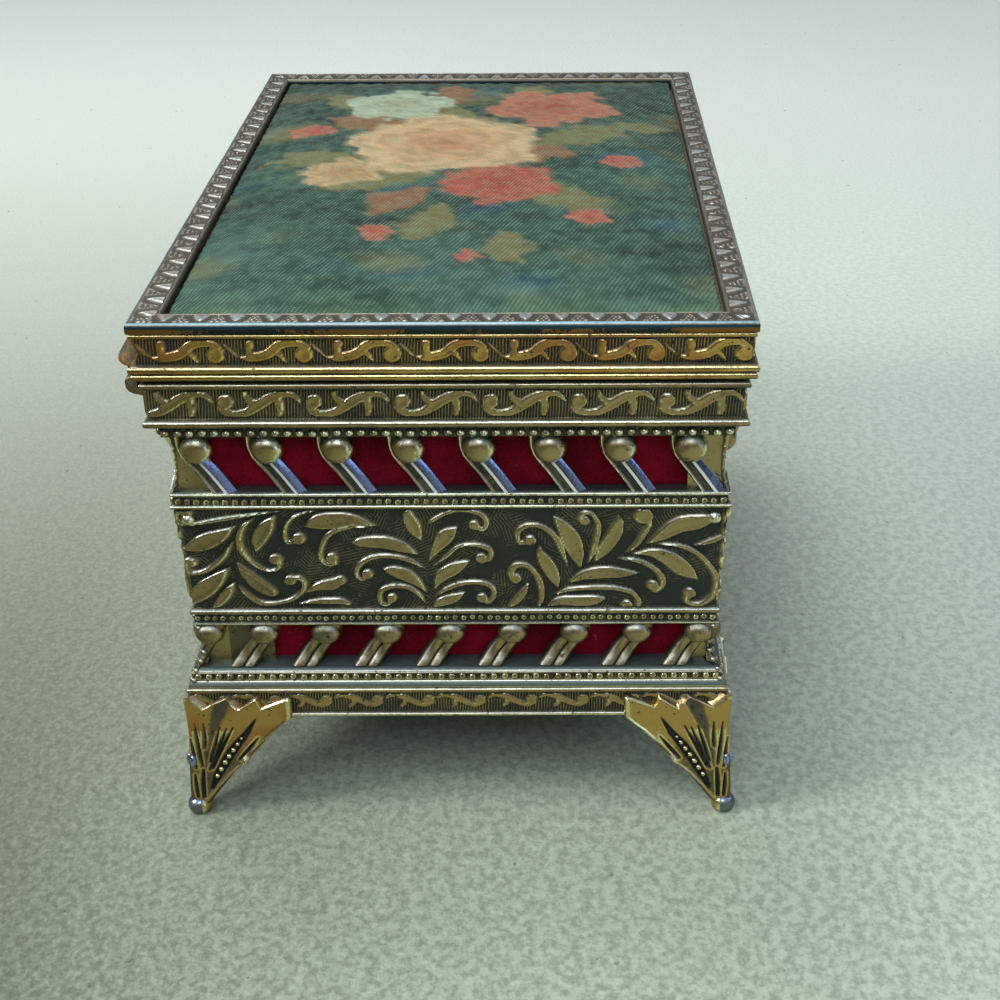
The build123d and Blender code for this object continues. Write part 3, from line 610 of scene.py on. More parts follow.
# The four walls: each is cast in one piece, with a frieze of leaf sprays on a hatched ground between two
# strings of beads, and above and below it a gallery of balls on slanted, reeded bars. The ends are mitred
# and soldered.
left_spray = (
    ((-23.8, 16.7, 0.12), (-28.4, 16, 0.3), (-32.8, 15.2, 0.36), (-36.5, 14.5, 0.3), (-38.1, 14.6, 0.3),
     (-38.7, 15.6, 0.3), (-38.2, 16.6, 0.35), (-37.2, 16.3, 0.45)),
    ((-30.7, 14, 0.08), (-32.8, 12.5, 0.7), (-35, 11.5, 0.95), (-36.8, 10.7, 0.65), (-38.3, 10.3, 0.08)),
    ((-31.2, 11.5, 0.12), (-32.6, 9.1, 0.4), (-34.9, 6.9, 0.4), (-37.2, 6, 0.35), (-38.3, 6.9, 0.35),
     (-38, 8.3, 0.38), (-37.4, 7.8, 0.42)),
    ((-32.2, 6.9, 0.08), (-33.9, 5.1, 0.7), (-35.9, 3.3, 1), (-37.6, 1.7, 0.7), (-38.5, 0.6, 0.08)),
    ((-31.8, 4.2, 0.1), (-32.8, 2.6, 0.55), (-34.1, 0.9, 0.5), (-35.2, -0.2, 0.08)),
    ((-27.8, 15.5, 0.1), (-29.6, 13.8, 0.4), (-30.3, 11.2, 0.45), (-29.6, 9, 0.4), (-28.2, 7.3, 0.3),
     (-26.5, 6.4, 0.28), (-25.1, 6.9, 0.33), (-24.7, 8.5, 0.35), (-25.5, 8.4, 0.5)),
    ((-24.9, 15.8, 0.1), (-26.2, 13.9, 0.75), (-27.3, 12, 0.75), (-28, 9.6, 0.08)),
    ((-31, 7.8, 0.08), (-29.7, 5.8, 0.55), (-28.1, 4, 0.75), (-26.5, 2.7, 0.6), (-26.1, 2, 0.08)),
    ((-31.3, 4, 0.08), (-30, 2.2, 0.35), (-28.1, 0.7, 0.4), (-25.7, 0.7, 0.35), (-23.2, 1.6, 0.35),
     (-21.6, 3.6, 0.4), (-22.2, 5.1, 0.36), (-23.6, 4.7, 0.5)),
    ((-18.1, 16.9, 0.08), (-21.1, 16.2, 0.25), (-23, 14.8, 0.3), (-23.7, 12.7, 0.3), (-23.3, 11.3, 0.3),
     (-21.8, 11.9, 0.55)),
)
middle_spray = (
    ((-20.8, 14.0, 0.1), (-18.7, 14.8, 0.85), (-16.1, 15.05, 0.95), (-13.6, 15.1, 0.6), (-10.6, 14, 0.08)),
    ((-11.2, 13.9, 0.08), (-14.4, 13.9, 0.35), (-17.1, 12.9, 0.4), (-18.4, 11.1, 0.4), (-18.9, 9, 0.35),
     (-18.3, 7.6, 0.33), (-16.9, 7.6, 0.36), (-17.3, 8.6, 0.5)),
    ((-22.7, 0.6, 0.1), (-19.8, 1, 0.45), (-16.8, 1, 0.5), (-15.4, 0.5, 0.3)),
    ((-21.6, 2.5, 0.08), (-19.6, 3.6, 0.5), (-17.6, 4, 0.7), (-16.4, 4.6, 0.4)),
    ((-4.3, 11.4, 0.08), (-5.3, 13.7, 0.75), (-6, 15.7, 0.6), (-6, 16.9, 0.1)),
    ((-14.3, 11.1, 0.08), (-12.7, 11.3, 0.6), (-9.9, 11.3, 0.75), (-7.3, 10.5, 0.65), (-4.8, 9.1, 0.08)),
    ((-4, 6.6, 0.08), (-6, 8, 0.36), (-8.3, 8.8, 0.4), (-11, 8.8, 0.4), (-13.1, 7.7, 0.4), (-14, 5.9, 0.35),
     (-13.3, 4.8, 0.3), (-12.4, 5.7, 0.5)),
    ((-10, 6.6, 0.1), (-8.7, 6.3, 0.6), (-6.8, 5.5, 0.75), (-5.3, 4.3, 0.5), (-3.9, 2.4, 0.08)),
    ((-4.1, 0.2, 0.08), (-5.1, 2.1, 0.36), (-6.8, 3.4, 0.4), (-8.9, 3.6, 0.4), (-10.6, 2.7, 0.4),
     (-10.8, 0.8, 0.35), (-9.8, 0.3, 0.3), (-9.1, 1.5, 0.45)),
    ((-3.5, 14.2, 0.08), (-2.6, 15, 0.3), (-0.5, 16.3, 0.35), (1.7, 16.7, 0.35), (4.1, 16, 0.4),
     (5, 14.7, 0.4), (4.4, 13.4, 0.35), (3.2, 14.1, 0.45)),
    ((-3.5, 8, 0.1), (-2.2, 10.3, 0.55), (-0.8, 12.3, 0.8), (0.8, 13.9, 0.1)),
    ((-2.9, 7, 0.08), (-0.8, 8.9, 0.3), (0.7, 10.4, 0.3), (2.5, 10.8, 0.33), (4, 10.6, 0.38),
     (5.4, 9.8, 0.4), (5.3, 8.3, 0.35), (4.1, 8.4, 0.5)),
    ((-2.9, 3, 0.1), (-1.8, 5.2, 0.6), (-0.3, 6.4, 0.75), (1.2, 7.3, 0.5), (2.4, 8, 0.08)),
    ((-3, 1.5, 0.08), (-1.2, 3, 0.35), (1.3, 4.1, 0.4), (4.1, 4.1, 0.4), (5.6, 3.2, 0.4), (5.7, 1.8, 0.4),
     (4.9, 0.7, 0.35), (4, 1.4, 0.48)),
    ((-3.2, -0.1, 0.1), (-1.8, 0.8, 0.55), (0, 1.5, 0.55), (1.5, 2.4, 0.08)),
)
right_spray = (
    ((16.6, 6.5, 0.1), (15.7, 9.5, 0.4), (14.6, 12.2, 0.45), (12.8, 13.8, 0.4), (10.8, 14.1, 0.4),
     (9.4, 12.9, 0.4), (9.6, 11.1, 0.35), (11.1, 11.5, 0.5)),
    ((15.1, 3.1, 0.1), (14.4, 5.3, 0.65), (13.5, 7.4, 0.75), (12.6, 9.2, 0.45), (12.5, 10.4, 0.08)),
    ((18.2, 7, 0.2), (17.6, 9.5, 0.8), (16.8, 12, 0.95), (15.6, 14.1, 0.6), (14.4, 15.6, 0.08)),
    ((19.3, 7.4, 0.08), (20, 9.5, 0.4), (20.6, 12, 0.4), (20.8, 14.1, 0.4), (20.1, 15.7, 0.36),
     (18.8, 16.2, 0.36), (18.1, 15.2, 0.35), (18.8, 14.8, 0.45)),
    ((20.2, 7.7, 0.08), (21.5, 9.9, 0.65), (22.9, 12.3, 0.75), (23.7, 14.4, 0.5), (23.7, 15.7, 0.08)),
    ((12.1, -0.4, 0.15), (12.6, 1.3, 0.4), (12.6, 3.5, 0.45), (11.9, 5.6, 0.45), (10.7, 7, 0.42),
     (9.1, 7.2, 0.45), (8.2, 5.8, 0.45), (8.9, 4.9, 0.5)),
    ((7.4, -0.5, 0.08), (9, 0.9, 0.5), (10, 2.4, 0.5), (10.7, 3.8, 0.2)),
    ((16.8, 4.3, 0.15), (19, 5.5, 0.6), (21.5, 5.9, 0.75), (24, 5.8, 0.6), (26.8, 5.8, 0.08)),
    ((14.7, 2, 0.1), (16.6, 2.9, 0.35), (19.4, 3.2, 0.4), (22.4, 3.2, 0.4), (24.7, 2.7, 0.4), (26, 2.1, 0.4),
     (26.8, 0.7, 0.38), (26.2, -0.5, 0.36), (25, 0.1, 0.5)),
    ((13.5, 0, 0.1), (15.4, 0.9, 0.55), (18, 0.9, 0.65), (20.2, 1, 0.6), (22, 1.4, 0.1)),
    ((24.8, 9.3, 0.12), (26.3, 10.9, 0.4), (27.5, 13.2, 0.4), (28, 14.5, 0.36), (27.1, 15.6, 0.75)),
    ((27.7, 10.9, 0.1), (29.7, 12.3, 0.6), (32.2, 14, 0.9), (34.8, 14.6, 0.85), (37.8, 15.6, 0.1)),
    ((23.5, 8.3, 0.1), (25.7, 8.1, 0.35), (28, 7.2, 0.4), (29.8, 5.5, 0.45), (30.1, 3.7, 0.4),
     (29.1, 2.6, 0.35), (28.7, 3.6, 0.5)),
    ((25.7, 9.1, 0.1), (28.4, 9.3, 0.5), (30.9, 8.3, 0.85), (33, 6.5, 0.9), (35.1, 4.7, 0.15)),
    ((28.6, 10.9, 0.08), (32.3, 10.5, 0.35), (35, 9.1, 0.4), (36.9, 6.9, 0.4), (37.9, 4.4, 0.4),
     (37.4, 1.7, 0.4), (35.6, 0.2, 0.4), (33.7, 0.7, 0.36), (34.1, 2.2, 0.5)),
    ((34.5, 10.5, 0.08), (36.7, 11.2, 0.4), (38.5, 12.2, 0.3)),
)
end_frieze = ((left_spray, 0), (middle_spray, 0), (right_spray, 0))
long_frieze = ((left_spray, -21), (middle_spray, -15), (middle_spray, 17.5), (right_spray, 21))


frieze_inset = 3.0
frieze_relief = 0.62
frieze_pitch = 0.225


def frieze_carving(sprays, half_run):
    """The leaves and tendrils of a frieze: every stroke of every spray, moved along by its offset, and the
    balls that the tendrils end in; a thin ridge runs down each mitre. Leaves are those with a half width
    over 0.5 on the way, and are widened more than tendrils."""
    strokes = []
    for spray, offset in sprays:
        for stroke in spray:
            wider = 1.55 if max(knot[2] for knot in stroke[1:-1]) > 0.5 else 1.28
            strokes.append(np.array(stroke) * (1, 1, wider) + (offset, 0, 0))
    ends = [stroke[-1] for stroke in strokes if stroke[-1, 2] > 0.4]
    strokes += [np.array([end, end + (0.02, 0, 0)]) * (1, 1, 1.5) for end in ends]

    def carving(run, climb):
        depth = depth_inside(strokes, run, climb)
        edge = half_run - frieze_inset - np.abs(run)
        depth = np.maximum(depth, 0.22 + 0.1 * np.sin(climb * 2.6) - np.abs(edge - 0.45))
        return frieze_relief * raised(depth, 0.5), rubbed(depth, 0.27)
    return carving


frieze_section = rounded([
    (3.9, 31.6, 0.5), (3.15, 31.75, 0.8), (3.05, 32.05, 1.0), (3.5, 32.2, 0.1), (3.5, 33.6, 0.1),
    (2.95, 33.75, 0.6, 1, 0.2), (2.95, 34.3, 0.9, 1, 0.25), (3.65, 34.6, 0.1, 80), (2.93, 51.9, 0.1),
    (2.2, 52.05, 0.7, 1, 0.2), (2.2, 52.5, 1.1, 1, 0.25), (2.8, 52.65, 0.1), (2.8, 53.9, 0.1),
    (2.3, 54.05, 1.0), (2.35, 54.35, 1.0), (2.8, 54.6, 1.4), (5.4, 54.7, 1.4, 1, 0), (5.4, 31.6, 0),
])
sill_section = rounded([
    (2.3, 23.85, 0.5), (2.35, 24.0, 0.8), (2.7, 24.2, 1.42), (2.9, 24.3, 1.42), (5.4, 24.85, 1.4, 1, 0),
    (5.4, 23.9, 0),
])
head_section = rounded([
    (3.1, 63.3, 0.2), (2.35, 63.5, 0.35), (2.3, 63.8, 0.15), (2.3, 65.1, 0.1), (2.1, 65.2, 0.3),
    (5.4, 65.2, 0), (5.4, 63.3, 0),
])


def gallery_ball(radius, squash, shine):
    """A cast ball, worn flat in front, with painted light on its lower right and painted shade on its upper
    left: loops from its tip back to where the wall holds it.
    """
    turn = np.linspace(0, 2 * np.pi, 28, endpoint=False)
    tilt = np.radians([6, 20, 32, 44, 56, 68, 80, 94, 112, 134])[:, None]
    reach = np.sin(tilt) * radius
    out = np.minimum(np.cos(tilt), 0.9 - 0.12 * (1 - np.cos(tilt))) * 0.82 * radius
    shape = [reach * np.cos(turn), 0 * turn - out, squash * reach * np.sin(turn)]
    wear_and_painted_light = np.array([0.78, 0.76, 0.8, 0.95, 1.0, 1.0, 0.92, 0.7, 0.4, 0.2])[:, None] * shine
    # Painted light and shade: the lower right side is made brighter and the upper left darker.
    wear_and_painted_light = wear_and_painted_light * (1 + np.sin(tilt) * (0.3 * np.cos(turn + 0.4) - 0.14))
    return tube(np.stack(shape, -1), wear_and_painted_light)


# Across an upper bar: a thin reed, a dark flat, an edge painted with a bright highlight and a long facet
# painted with a blue reflection, then its back; across a lower one: two fat reeds. Each row is (run from
# the middle, rise, wear).
upper_bar = np.array([
    (-1.85, -0.5, 0.4), (-1.72, 0.1, 0.8), (-1.5, 0.3, 1.1), (-1.2, 0.22, 0.7), (-0.95, -0.12, 0.15),
    (0.06, -0.12, 0.15), (0.1, 0.3, 2.2), (0.34, 0.44, 2.2), (0.62, 0.44, 2.2), (0.68, 0.28, 1.7),
    (1.8, -0.36, 1.7), (1.8, -9, 0.1), (-1.85, -9, 0.1),
]).T
lower_bar = np.array([
    (-1.95, -0.6, 0.1), (-1.84, -0.02, 0.45), (-1.5, 0.2, 0.74), (-0.8, 0.24, 0.7), (-0.2, 0.1, 0.45),
    (-0.1, -0.35, 0.05), (0.06, -0.35, 0.05), (0.16, 0.12, 0.45), (0.65, 0.28, 0.74), (1.35, 0.24, 0.7),
    (1.86, -0.3, 0.4), (1.86, -9, 0.1), (-1.95, -9, 0.1),
]).T
# The middle line of a bar: (height above the sill, run from the ball), from under the head down
upper_line = np.array([
    (8.7, -1.25), (6.9, -1.2), (5.4, -0.75), (4.2, 0.05), (2.6, 1.25), (1.3, 2.2), (-0.3, 3.4),
])
lower_line = np.array([(6.9, 0.55), (5.4, 0.45), (4.2, 0.1), (3.0, -0.95), (1.6, -2.05), (-0.3, -3.4)])
# A gallery: the insets of its foot, waist and head, its heights, its balls' place, and its pieces' shapes
Gallery = namedtuple("Gallery", "foot waist head bottom top ball_inset ball_height post_width bar line ball")
lower_gallery = Gallery(3.1, 4.4, 3.6, 24.8, 31.6, 4.26, 29.9, 8.0, lower_bar, lower_line,
                        gallery_ball(2.25, 0.84, 0.8))
upper_gallery = Gallery(2.75, 3.35, 3.1, 54.7, 63.3, 3.35, 61.3, 8.5, upper_bar, upper_line,
                        gallery_ball(2.4, 0.94, 1.0))
wall_back = 5.4


def hollow(gallery, height):
    """The inset of a gallery's hollow front: two half parabolas that meet at its waist."""
    foot, waist, head, bottom, top = gallery[:5]
    middle = bottom + 0.45 * (top - bottom)
    below = height < middle
    share = (height - middle) / np.where(below, bottom - middle, top - middle)
    return waist - (waist - np.where(below, foot, head)) * share ** 2


def gallery_post(gallery, half_run, end):
    """A corner post: a ragged ridge along the mitre, and beside it a panel that is sunk behind the bars."""
    bottom, top = gallery.bottom - 0.1, gallery.top + 0.1
    heights = np.linspace(bottom, top, 34)
    ragged = hollow(gallery, heights) - 0.08 * np.sin(heights * 5.3) - 0.06 * np.sin(heights * 8.9)
    levels = np.concatenate([heights, [top, bottom]])
    share = np.array([0, 0.05, 0.085, 0.13, 0.55, 1.0])[:, None]
    sunk = np.array([0, 0.05, 0.7, 1, 1, 1])[:, None]
    insets = np.concatenate([ragged + (gallery.waist + 0.2 - ragged) * sunk, np.full((6, 2), wall_back)], 1)
    mitre = half_run - np.concatenate([ragged, [wall_back, wall_back]])
    run = end * (mitre * (1 - share) + (half_run - gallery.post_width) * share)
    wear_and_painted_light = np.array([1.1, 0.9, 0.2, 0.66, 0.74, 0.74])[:, None]
    return tube(np.stack([run, insets, np.broadcast_to(levels, run.shape)], -1), wear_and_painted_light)


def gallery_bar(gallery, place, half_run):
    """A slanted reeded bar, curled behind its ball and bent to the gallery's hollow front. Near a mitre it
    is cut off there."""
    bottom, top = gallery.bottom, gallery.top
    reeds, rise, wear_and_painted_light = gallery.bar
    levels, sways = gallery.line[::-1].T
    climb = np.linspace(top - bottom + 0.05, -0.25, 15)[:, None]
    run = place + np.interp(climb, levels, sways) + reeds
    front = hollow(gallery, np.clip(bottom + climb, bottom, top))
    inset = np.where(rise < -5, wall_back, front - rise * np.clip(1.6 - climb / 12, 0.5, 1))
    limit = half_run - inset - 0.02
    run = np.clip(run, -limit, limit)
    return tube(np.stack([run, inset, np.broadcast_to(bottom + climb, run.shape)], -1), wear_and_painted_light)


def gallery_parts(gallery, half_run, places, side):
    """The posts, bars and balls of one gallery."""
    posts = [gallery_post(gallery, half_run, end) for end in (-1, 1)]
    bars = [gallery_bar(gallery, place, half_run) for place in places]
    balls = scatter(gallery.ball, [(place, gallery.ball_inset, gallery.ball_height) for place in places])
    return [faced(part, side) for part in posts + bars + [balls]]


def even_places(half_run, left, right, pitch):
    """Places along a side, the first `left` mm in from its left end and the last `right` mm in from its
    right end, as near the pitch as comes out even."""
    first, last = left - half_run, half_run - right
    return list(np.linspace(first, last, round((last - first) / pitch) + 1))


# Where the balls stand: (in from the left end, in from the right end, pitch). The lower gallery has one more
# near each end, and its first window is closed by a plain blank.
upper_spread, lower_spread = (6.85, 8.15, 9.9), (13.4, 15.1, 9.2)
lower_end_left, lower_end_right = 5.3, 5.9
blank_ends = np.array([[8.0], [14.6]])
blank_profile = np.array([(4.7, 24.7), (4.7, 31.7), (5.4, 31.7), (5.4, 24.7)])
# A wall's strings of beads: (pitch, radius, inset, height, whether they are dimpled)
wall_beads = ((1.68, 0.66, 2.2, 64.3, False), (1.35, 0.56, 2.7, 53.1, True), (1.27, 0.52, 3.4, 33.0, True))
# Down each lower mitre, small knobs (inset, height); at the frieze's top corners, domes
mitre_knobs = ((3.5, 31.1), (3.9, 29.6), (4.1, 28.0), (3.8, 26.5), (3.3, 25.2), (2.6, 24.0), (2.2, 22.5))
dome_place, dome_inset, dome_height = 4.5, 3.0, 50.15
frieze_gilt = gilt("frieze_gilt", pitch=0.46, wandering=True, warm=-0.35, hatch=0.42)
for side, (name, sprays) in enumerate((
    ("front_wall", long_frieze), ("right_end_wall", end_frieze),
    ("rear_wall", long_frieze), ("left_end_wall", end_frieze),
)):
    half_run = half_runs[side]
    parts = []
    for section_parts, columns, carvings in (
        (frieze_section, round(2 * half_run / frieze_pitch), [frieze_carving(sprays, half_run)]),
        (sill_section, round(half_run), []),
        (head_section, round(half_run), []),
    ):
        shape, shine = run_columns(*section_parts, half_run, columns, carvings, 20 + side, False)
        parts.append(faced(tube(shape, shine), side))
    lower_ends = [lower_end_left - half_run, half_run - lower_end_right]
    parts += gallery_parts(upper_gallery, half_run, even_places(half_run, *upper_spread), side)
    parts += gallery_parts(lower_gallery, half_run, even_places(half_run, *lower_spread) + lower_ends, side)
    parts += [bead_row(side, *row) for row in wall_beads]
    blank = np.stack(np.broadcast_arrays(blank_ends - half_run, *blank_profile.T), -1)
    parts.append(faced(tube(blank, 0.42), side))
    domes = [(end * (half_run - dome_place), dome_inset, dome_height) for end in (-1, 1)]
    parts.append(faced(scatter(bead(1.15), domes), side))
    knobs = [(end * (half_run - inset - 0.35), inset, height)
             for end in (-1, 1) for inset, height in mitre_knobs]
    knob = bead(0.48)
    parts.append(faced(scatter((*knob[:3], knob[3] * 0.72), knobs), side))
    casting(name + "_casting", parts, frieze_gilt, "case", name)


# The rim: the cornice round the top of the case, a band of scrolls between two bright round mouldings,
# cast in one with the lip that covers the top edge of the velvet boards.
rim_ball = ((1.05, 2.3, 1.12), (1.1, 2.32, 1.12))
rim_scroll = (
    ((0.5, 1.4, 0.5), (1.0, 0.92, 0.52), (1.9, 0.66, 0.42), (3.7, 0.78, 0.5), (5.2, 1.57, 0.62),
     (6.7, 2.5, 0.64), (8.0, 3.1, 0.55), (9.2, 3.3, 0.44), (10.2, 3.15, 0.36), (11.0, 2.5, 0.24),
     (11.3, 2.0, 0.08)),
    ((5.1, 2.0, 0.42), (4.25, 2.5, 0.38), (3.8, 3.2, 0.28), (3.85, 3.65, 0.26)),
    ((8.2, 2.6, 0.5), (8.45, 1.5, 0.44), (8.25, 0.55, 0.34)),
)
rim_section = rounded([
    (1.7, 65.2, 0.2), (1.4, 65.5, 0.3), *half_round(1.05, 66.2, 0.55), (1.4, 66.85, 0.12, 20),
    (1.4, 71.3, 0.12), *half_round(1.1, 71.93, 0.5, 0.85), (1.5, 72.5, 0.3), (7.1, 72.5, 0), (7.1, 71.3, 0),
    (5.4, 71.3, 0), (5.4, 65.2, 0),
])
rim_unit = [*stretched(rim_scroll, 1.12, 1.3, 0.2), rim_ball]
rim_gilt = gilt("rim_gilt", pitch=0.42, warm=-0.2)
casting("rim_casting", [
    carried_round(rim_section, [running(rim_unit, 11.96, 0.42, 6.97)], seed=31),
], rim_gilt, "case", "rim_frame")


# The lid's frame is one casting; here its skirt, with the thin bead under the flange, the scroll band and
# the two bright mouldings at its foot. Handling has rubbed its near rear corner to a coppery gold.
skirt_unit = (
    ((0.0, 2.75, 0.1), (0.9, 1.95, 0.2), (1.85, 1.2, 0.12)),
    ((2.0, 1.1, 0.1), (3.2, 1.0, 0.42), (4.4, 1.2, 0.6), (5.9, 1.55, 0.62), (7.4, 2.6, 0.6), (8.9, 2.9, 0.54),
     (10.2, 2.75, 0.45), (11.1, 2.2, 0.42)),
    ((10.6, 1.45, 1.02), (10.65, 1.5, 1.02)),
    ((3.45, 1.5, 0.5), (3.45, 2.0, 0.4), (3.5, 2.75, 0.52)),
    ((6.5, 1.9, 0.25), (7.3, 1.5, 0.36), (8.15, 0.55, 0.12)),
)
skirt_section = rounded([
    (1.7, 72.8, 0), (1.1, 72.8, 0), (0.75, 73.0, 0.4), *half_round(0.42, 73.6, 0.52, 1.1),
    *half_round(0.3, 74.72, 0.6, 1.1), (0.75, 75.35, 0.12, 18), (0.75, 79.15, 0.12),
    *half_round(0.6, 79.5, 0.36, 1.0), (0.6, 79.9, 0.3), (1.7, 79.9, 0),
])
skirt_gilt = gilt("skirt_gilt", pitch=0.42, warm=0.7, bare=(-0.063, 0.042, 0.077))
casting("lid_skirt", [
    carried_round(skirt_section, [running(stretched(skirt_unit, 1.2, 1.22, 0.6), 11.7, 0.42, 5.75)], seed=41),
], skirt_gilt, "lid", "lid_frame")


# The rail round the picture, in the same casting as the skirt: a band of lobes and pebbled triangles parted
# by a zigzag, between a rolled outer edge and a thin inner one. Its gilding has gone to a silvery brown.
rail_unit = (
    ((2.4, 0.15, 1.0), (2.4, 0.9, 0.72), (2.4, 1.9, 0.2)),
    ((0.15, 0.3, 0.1), (1.2, 2.5, 0.1)),
    ((4.65, 0.3, 0.1), (3.6, 2.5, 0.1)),
    *(((run, climb, 0.2), (run + 0.02, climb, 0.2)) for run, climb in (
        (0, 1.1), (-0.3, 1.75), (0.35, 1.7), (0, 2.3), (-0.7, 2.35), (0.7, 2.3),
    )),
)
rail_section = rounded([
    (1.7, 79.9, 0), (0.35, 79.85, 0.3), (0.0, 80.1, 0.55, 1, 0.2), (0.0, 81.2, 0.75, 1, 0.2),
    (0.28, 81.65, 1.1, 1, 0.2), (0.48, 81.5, 0.35, 16), (3.7, 81.3, 0.35), (3.82, 81.4, 0.5, 1, 0.1),
    (4.15, 80.95, 0.1, 1, 0.1), (4.2, 80.25, 0.05), (1.7, 80.2, 0),
])


def pewter():
    """Worn silvery metal, brown where it lies lower, its outer edge dark blue and coppery in patches, and its
    brightest rubs, such as the outer roll, tinted blue as a painted reflection.
    """
    metal = Finish("rail_pewter")
    wear_and_painted_light = metal.wear_and_painted_light()
    cloud, grain = metal.noise(150, 4), metal.noise(1300, 4)
    level = metal.axis(metal.place(), 2)
    shown = wear_and_painted_light + (cloud - 0.5) * 0.5 + (grain - 0.5) * 0.3
    patches = metal.step(metal.noise(60, 1) + (grain - 0.5) * 0.25, 0.48, 0.51)
    edge = metal.coats((0.03, 0.035, 0.035), (patches, (0.26, 0.125, 0.03)),
                       (metal.step(level + cloud * 0.0006, 0.08215, 0.0824), (0.03, 0.075, 0.105)))
    on_edge = (1 - metal.step(metal.axis(metal.normal(), 2), 0.1, 0.5)) * metal.step(level, 0.0810, 0.0813)
    return metal.paint(
        Base_Color=metal.coats(
            (0.12, 0.11, 0.09), (metal.step(shown, 0.15, 0.55), (0.38, 0.33, 0.265)),
            (metal.step(shown, 0.6, 0.8), (0.55, 0.62, 0.62)),
            # Where it is rubbed most, as on the outer roll, a blue tint stands for a painted reflection
            (metal.step(wear_and_painted_light, 0.92, 1.0), (0.17, 0.29, 0.34)), (on_edge, edge),
        ),
        Metallic=0.85,
        Roughness=0.5 - metal.step(shown, 0.5, 1.2) * 0.22 + (grain - 0.5) * 0.12,
        Normal=metal.bump(grain, 0.00004),
    )


rail_carving = running(stretched(rail_unit, 1.16, 1.05), 4.8, 0.2, 1.0)
casting("lid_rail", [
    carried_round(rail_section, [rail_carving], pitch=0.26, seed=51),
], pewter(), "lid", "lid_frame")


# The feet: cast bracket feet, each two wings that meet at the corner over a round toe. A wing is a leaf with
# a zigzag top edge, fanned grooves rising from the toe, and a slanted channel with a row of beads in it.
# Its edge is (height, run), its top (run, height), its profile and its back (height, inset), and what is
# cut into it strokes of (run, height, half width).
wing_edge = np.array([
    (-0.9, 2.4), (0.1, 2.8), (1.0, 3.15), (1.8, 3.6), (2.7, 4.3), (3.8, 5.1), (4.95, 6.1), (6.1, 7.1),
    (7.2, 8.2), (8.1, 9.3), (8.6, 9.8), (9.2, 10.1), (10.6, 11.4), (11.8, 12.4), (12.9, 13.4), (14.0, 14.4),
    (15.2, 15.8), (16.3, 16.9), (20.7, 17.1),
])
wing_top = np.array([
    (0, 20.35), (2.2, 20.3), (4.2, 18.5), (7.5, 20.3), (9.3, 18.3), (12.0, 20.35), (12.6, 18.5), (16.6, 20.3),
    (17.2, 20.0),
])
wing_profile = np.array([
    (-0.9, 0.6), (0.5, 0.35), (2.0, 0.25), (3.6, 0.3), (6.9, 0.5),
    (10.5, 0.75), (14.5, 1.0), (18, 0.9), (20.7, 0.8),
])
wing_back = np.array([(-0.9, 2.6), (1, 3.0), (5, 2.9), (9, 2.8), (13, 3.0), (16, 3.3), (20.5, 3.3)])
wing_back_rise = np.array([1.0, 0.75, 0.5, 0.3, 0.12, 0.0])
wing_bottom = -0.9
wing_top_start, wing_top_length = 1.6, 15.5
wing_columns, wing_rows = 78, 100
wing_fold = (((6.9, 20.6, 1.5), (5.7, 17.4, 1.15), (4.75, 14.9, 0.85), (3.95, 12.3, 0.55), (3.3, 10.1, 0.35),
              (2.95, 7.8, 0.2)),)
wing_grooves = (
    ((1.9, 15.4, 0.06), (2.0, 12.6, 0.22), (2.2, 10.0, 0.24), (2.4, 7.6, 0.12)),
    ((3.25, 15.4, 0.06), (3.15, 13.0, 0.2), (2.95, 10.8, 0.16)),
    ((1.1, 12.6, 0.06), (1.3, 10.0, 0.18), (1.55, 7.2, 0.1)),
    ((5.6, 14.6, 0.06), (4.8, 12.0, 0.24), (3.6, 8.2, 0.16)),
    ((6.7, 14.4, 0.06), (5.4, 11.4, 0.24), (3.6, 7.0, 0.18)),
    ((7.7, 14.6, 0.06), (6.0, 11.4, 0.24), (4.0, 7.2, 0.2)),
    ((11.4, 12.7, 0.06), (9.9, 10.7, 0.24), (8.3, 8.8, 0.16)),
    ((12.5, 12.4, 0.06), (11.2, 10.9, 0.22), (9.9, 9.5, 0.12)),
    ((2.5, 6.8, 0.2), (2.3, 4.5, 0.3), (2.2, 1.8, 0.25)),
    ((1.2, 6.0, 0.1), (1.2, 4.0, 0.22), (1.3, 1.8, 0.18)),
)
wing_channel = (((11.3, 16.2, 0.1), (9.7, 13.5, 0.5), (8.0, 11.3, 0.72), (6.3, 8.7, 0.8), (4.9, 6.2, 0.7),
                 (3.6, 3.4, 0.3)),)
wing_beads = ((8.8, 12.4, 0.26), (8.15, 11.4, 0.38), (7.45, 10.3, 0.44), (6.7, 9.2, 0.46), (6.0, 8.05, 0.48),
              (5.3, 6.85, 0.48), (4.6, 5.6, 0.44))
# A toe, turned about its upright axis: (radius, height, wear)
toe_profile = np.array([
    (0.5, -1.3, 1.4), (1.3, -1.3, 1.4), (1.7, -0.95, 1.4), (1.87, -0.3, 1.4), (1.84, 0.3, 1.4),
    (1.6, 0.85, 1.5), (1.1, 1.25, 1.8), (0.5, 1.4, 1.8),
])


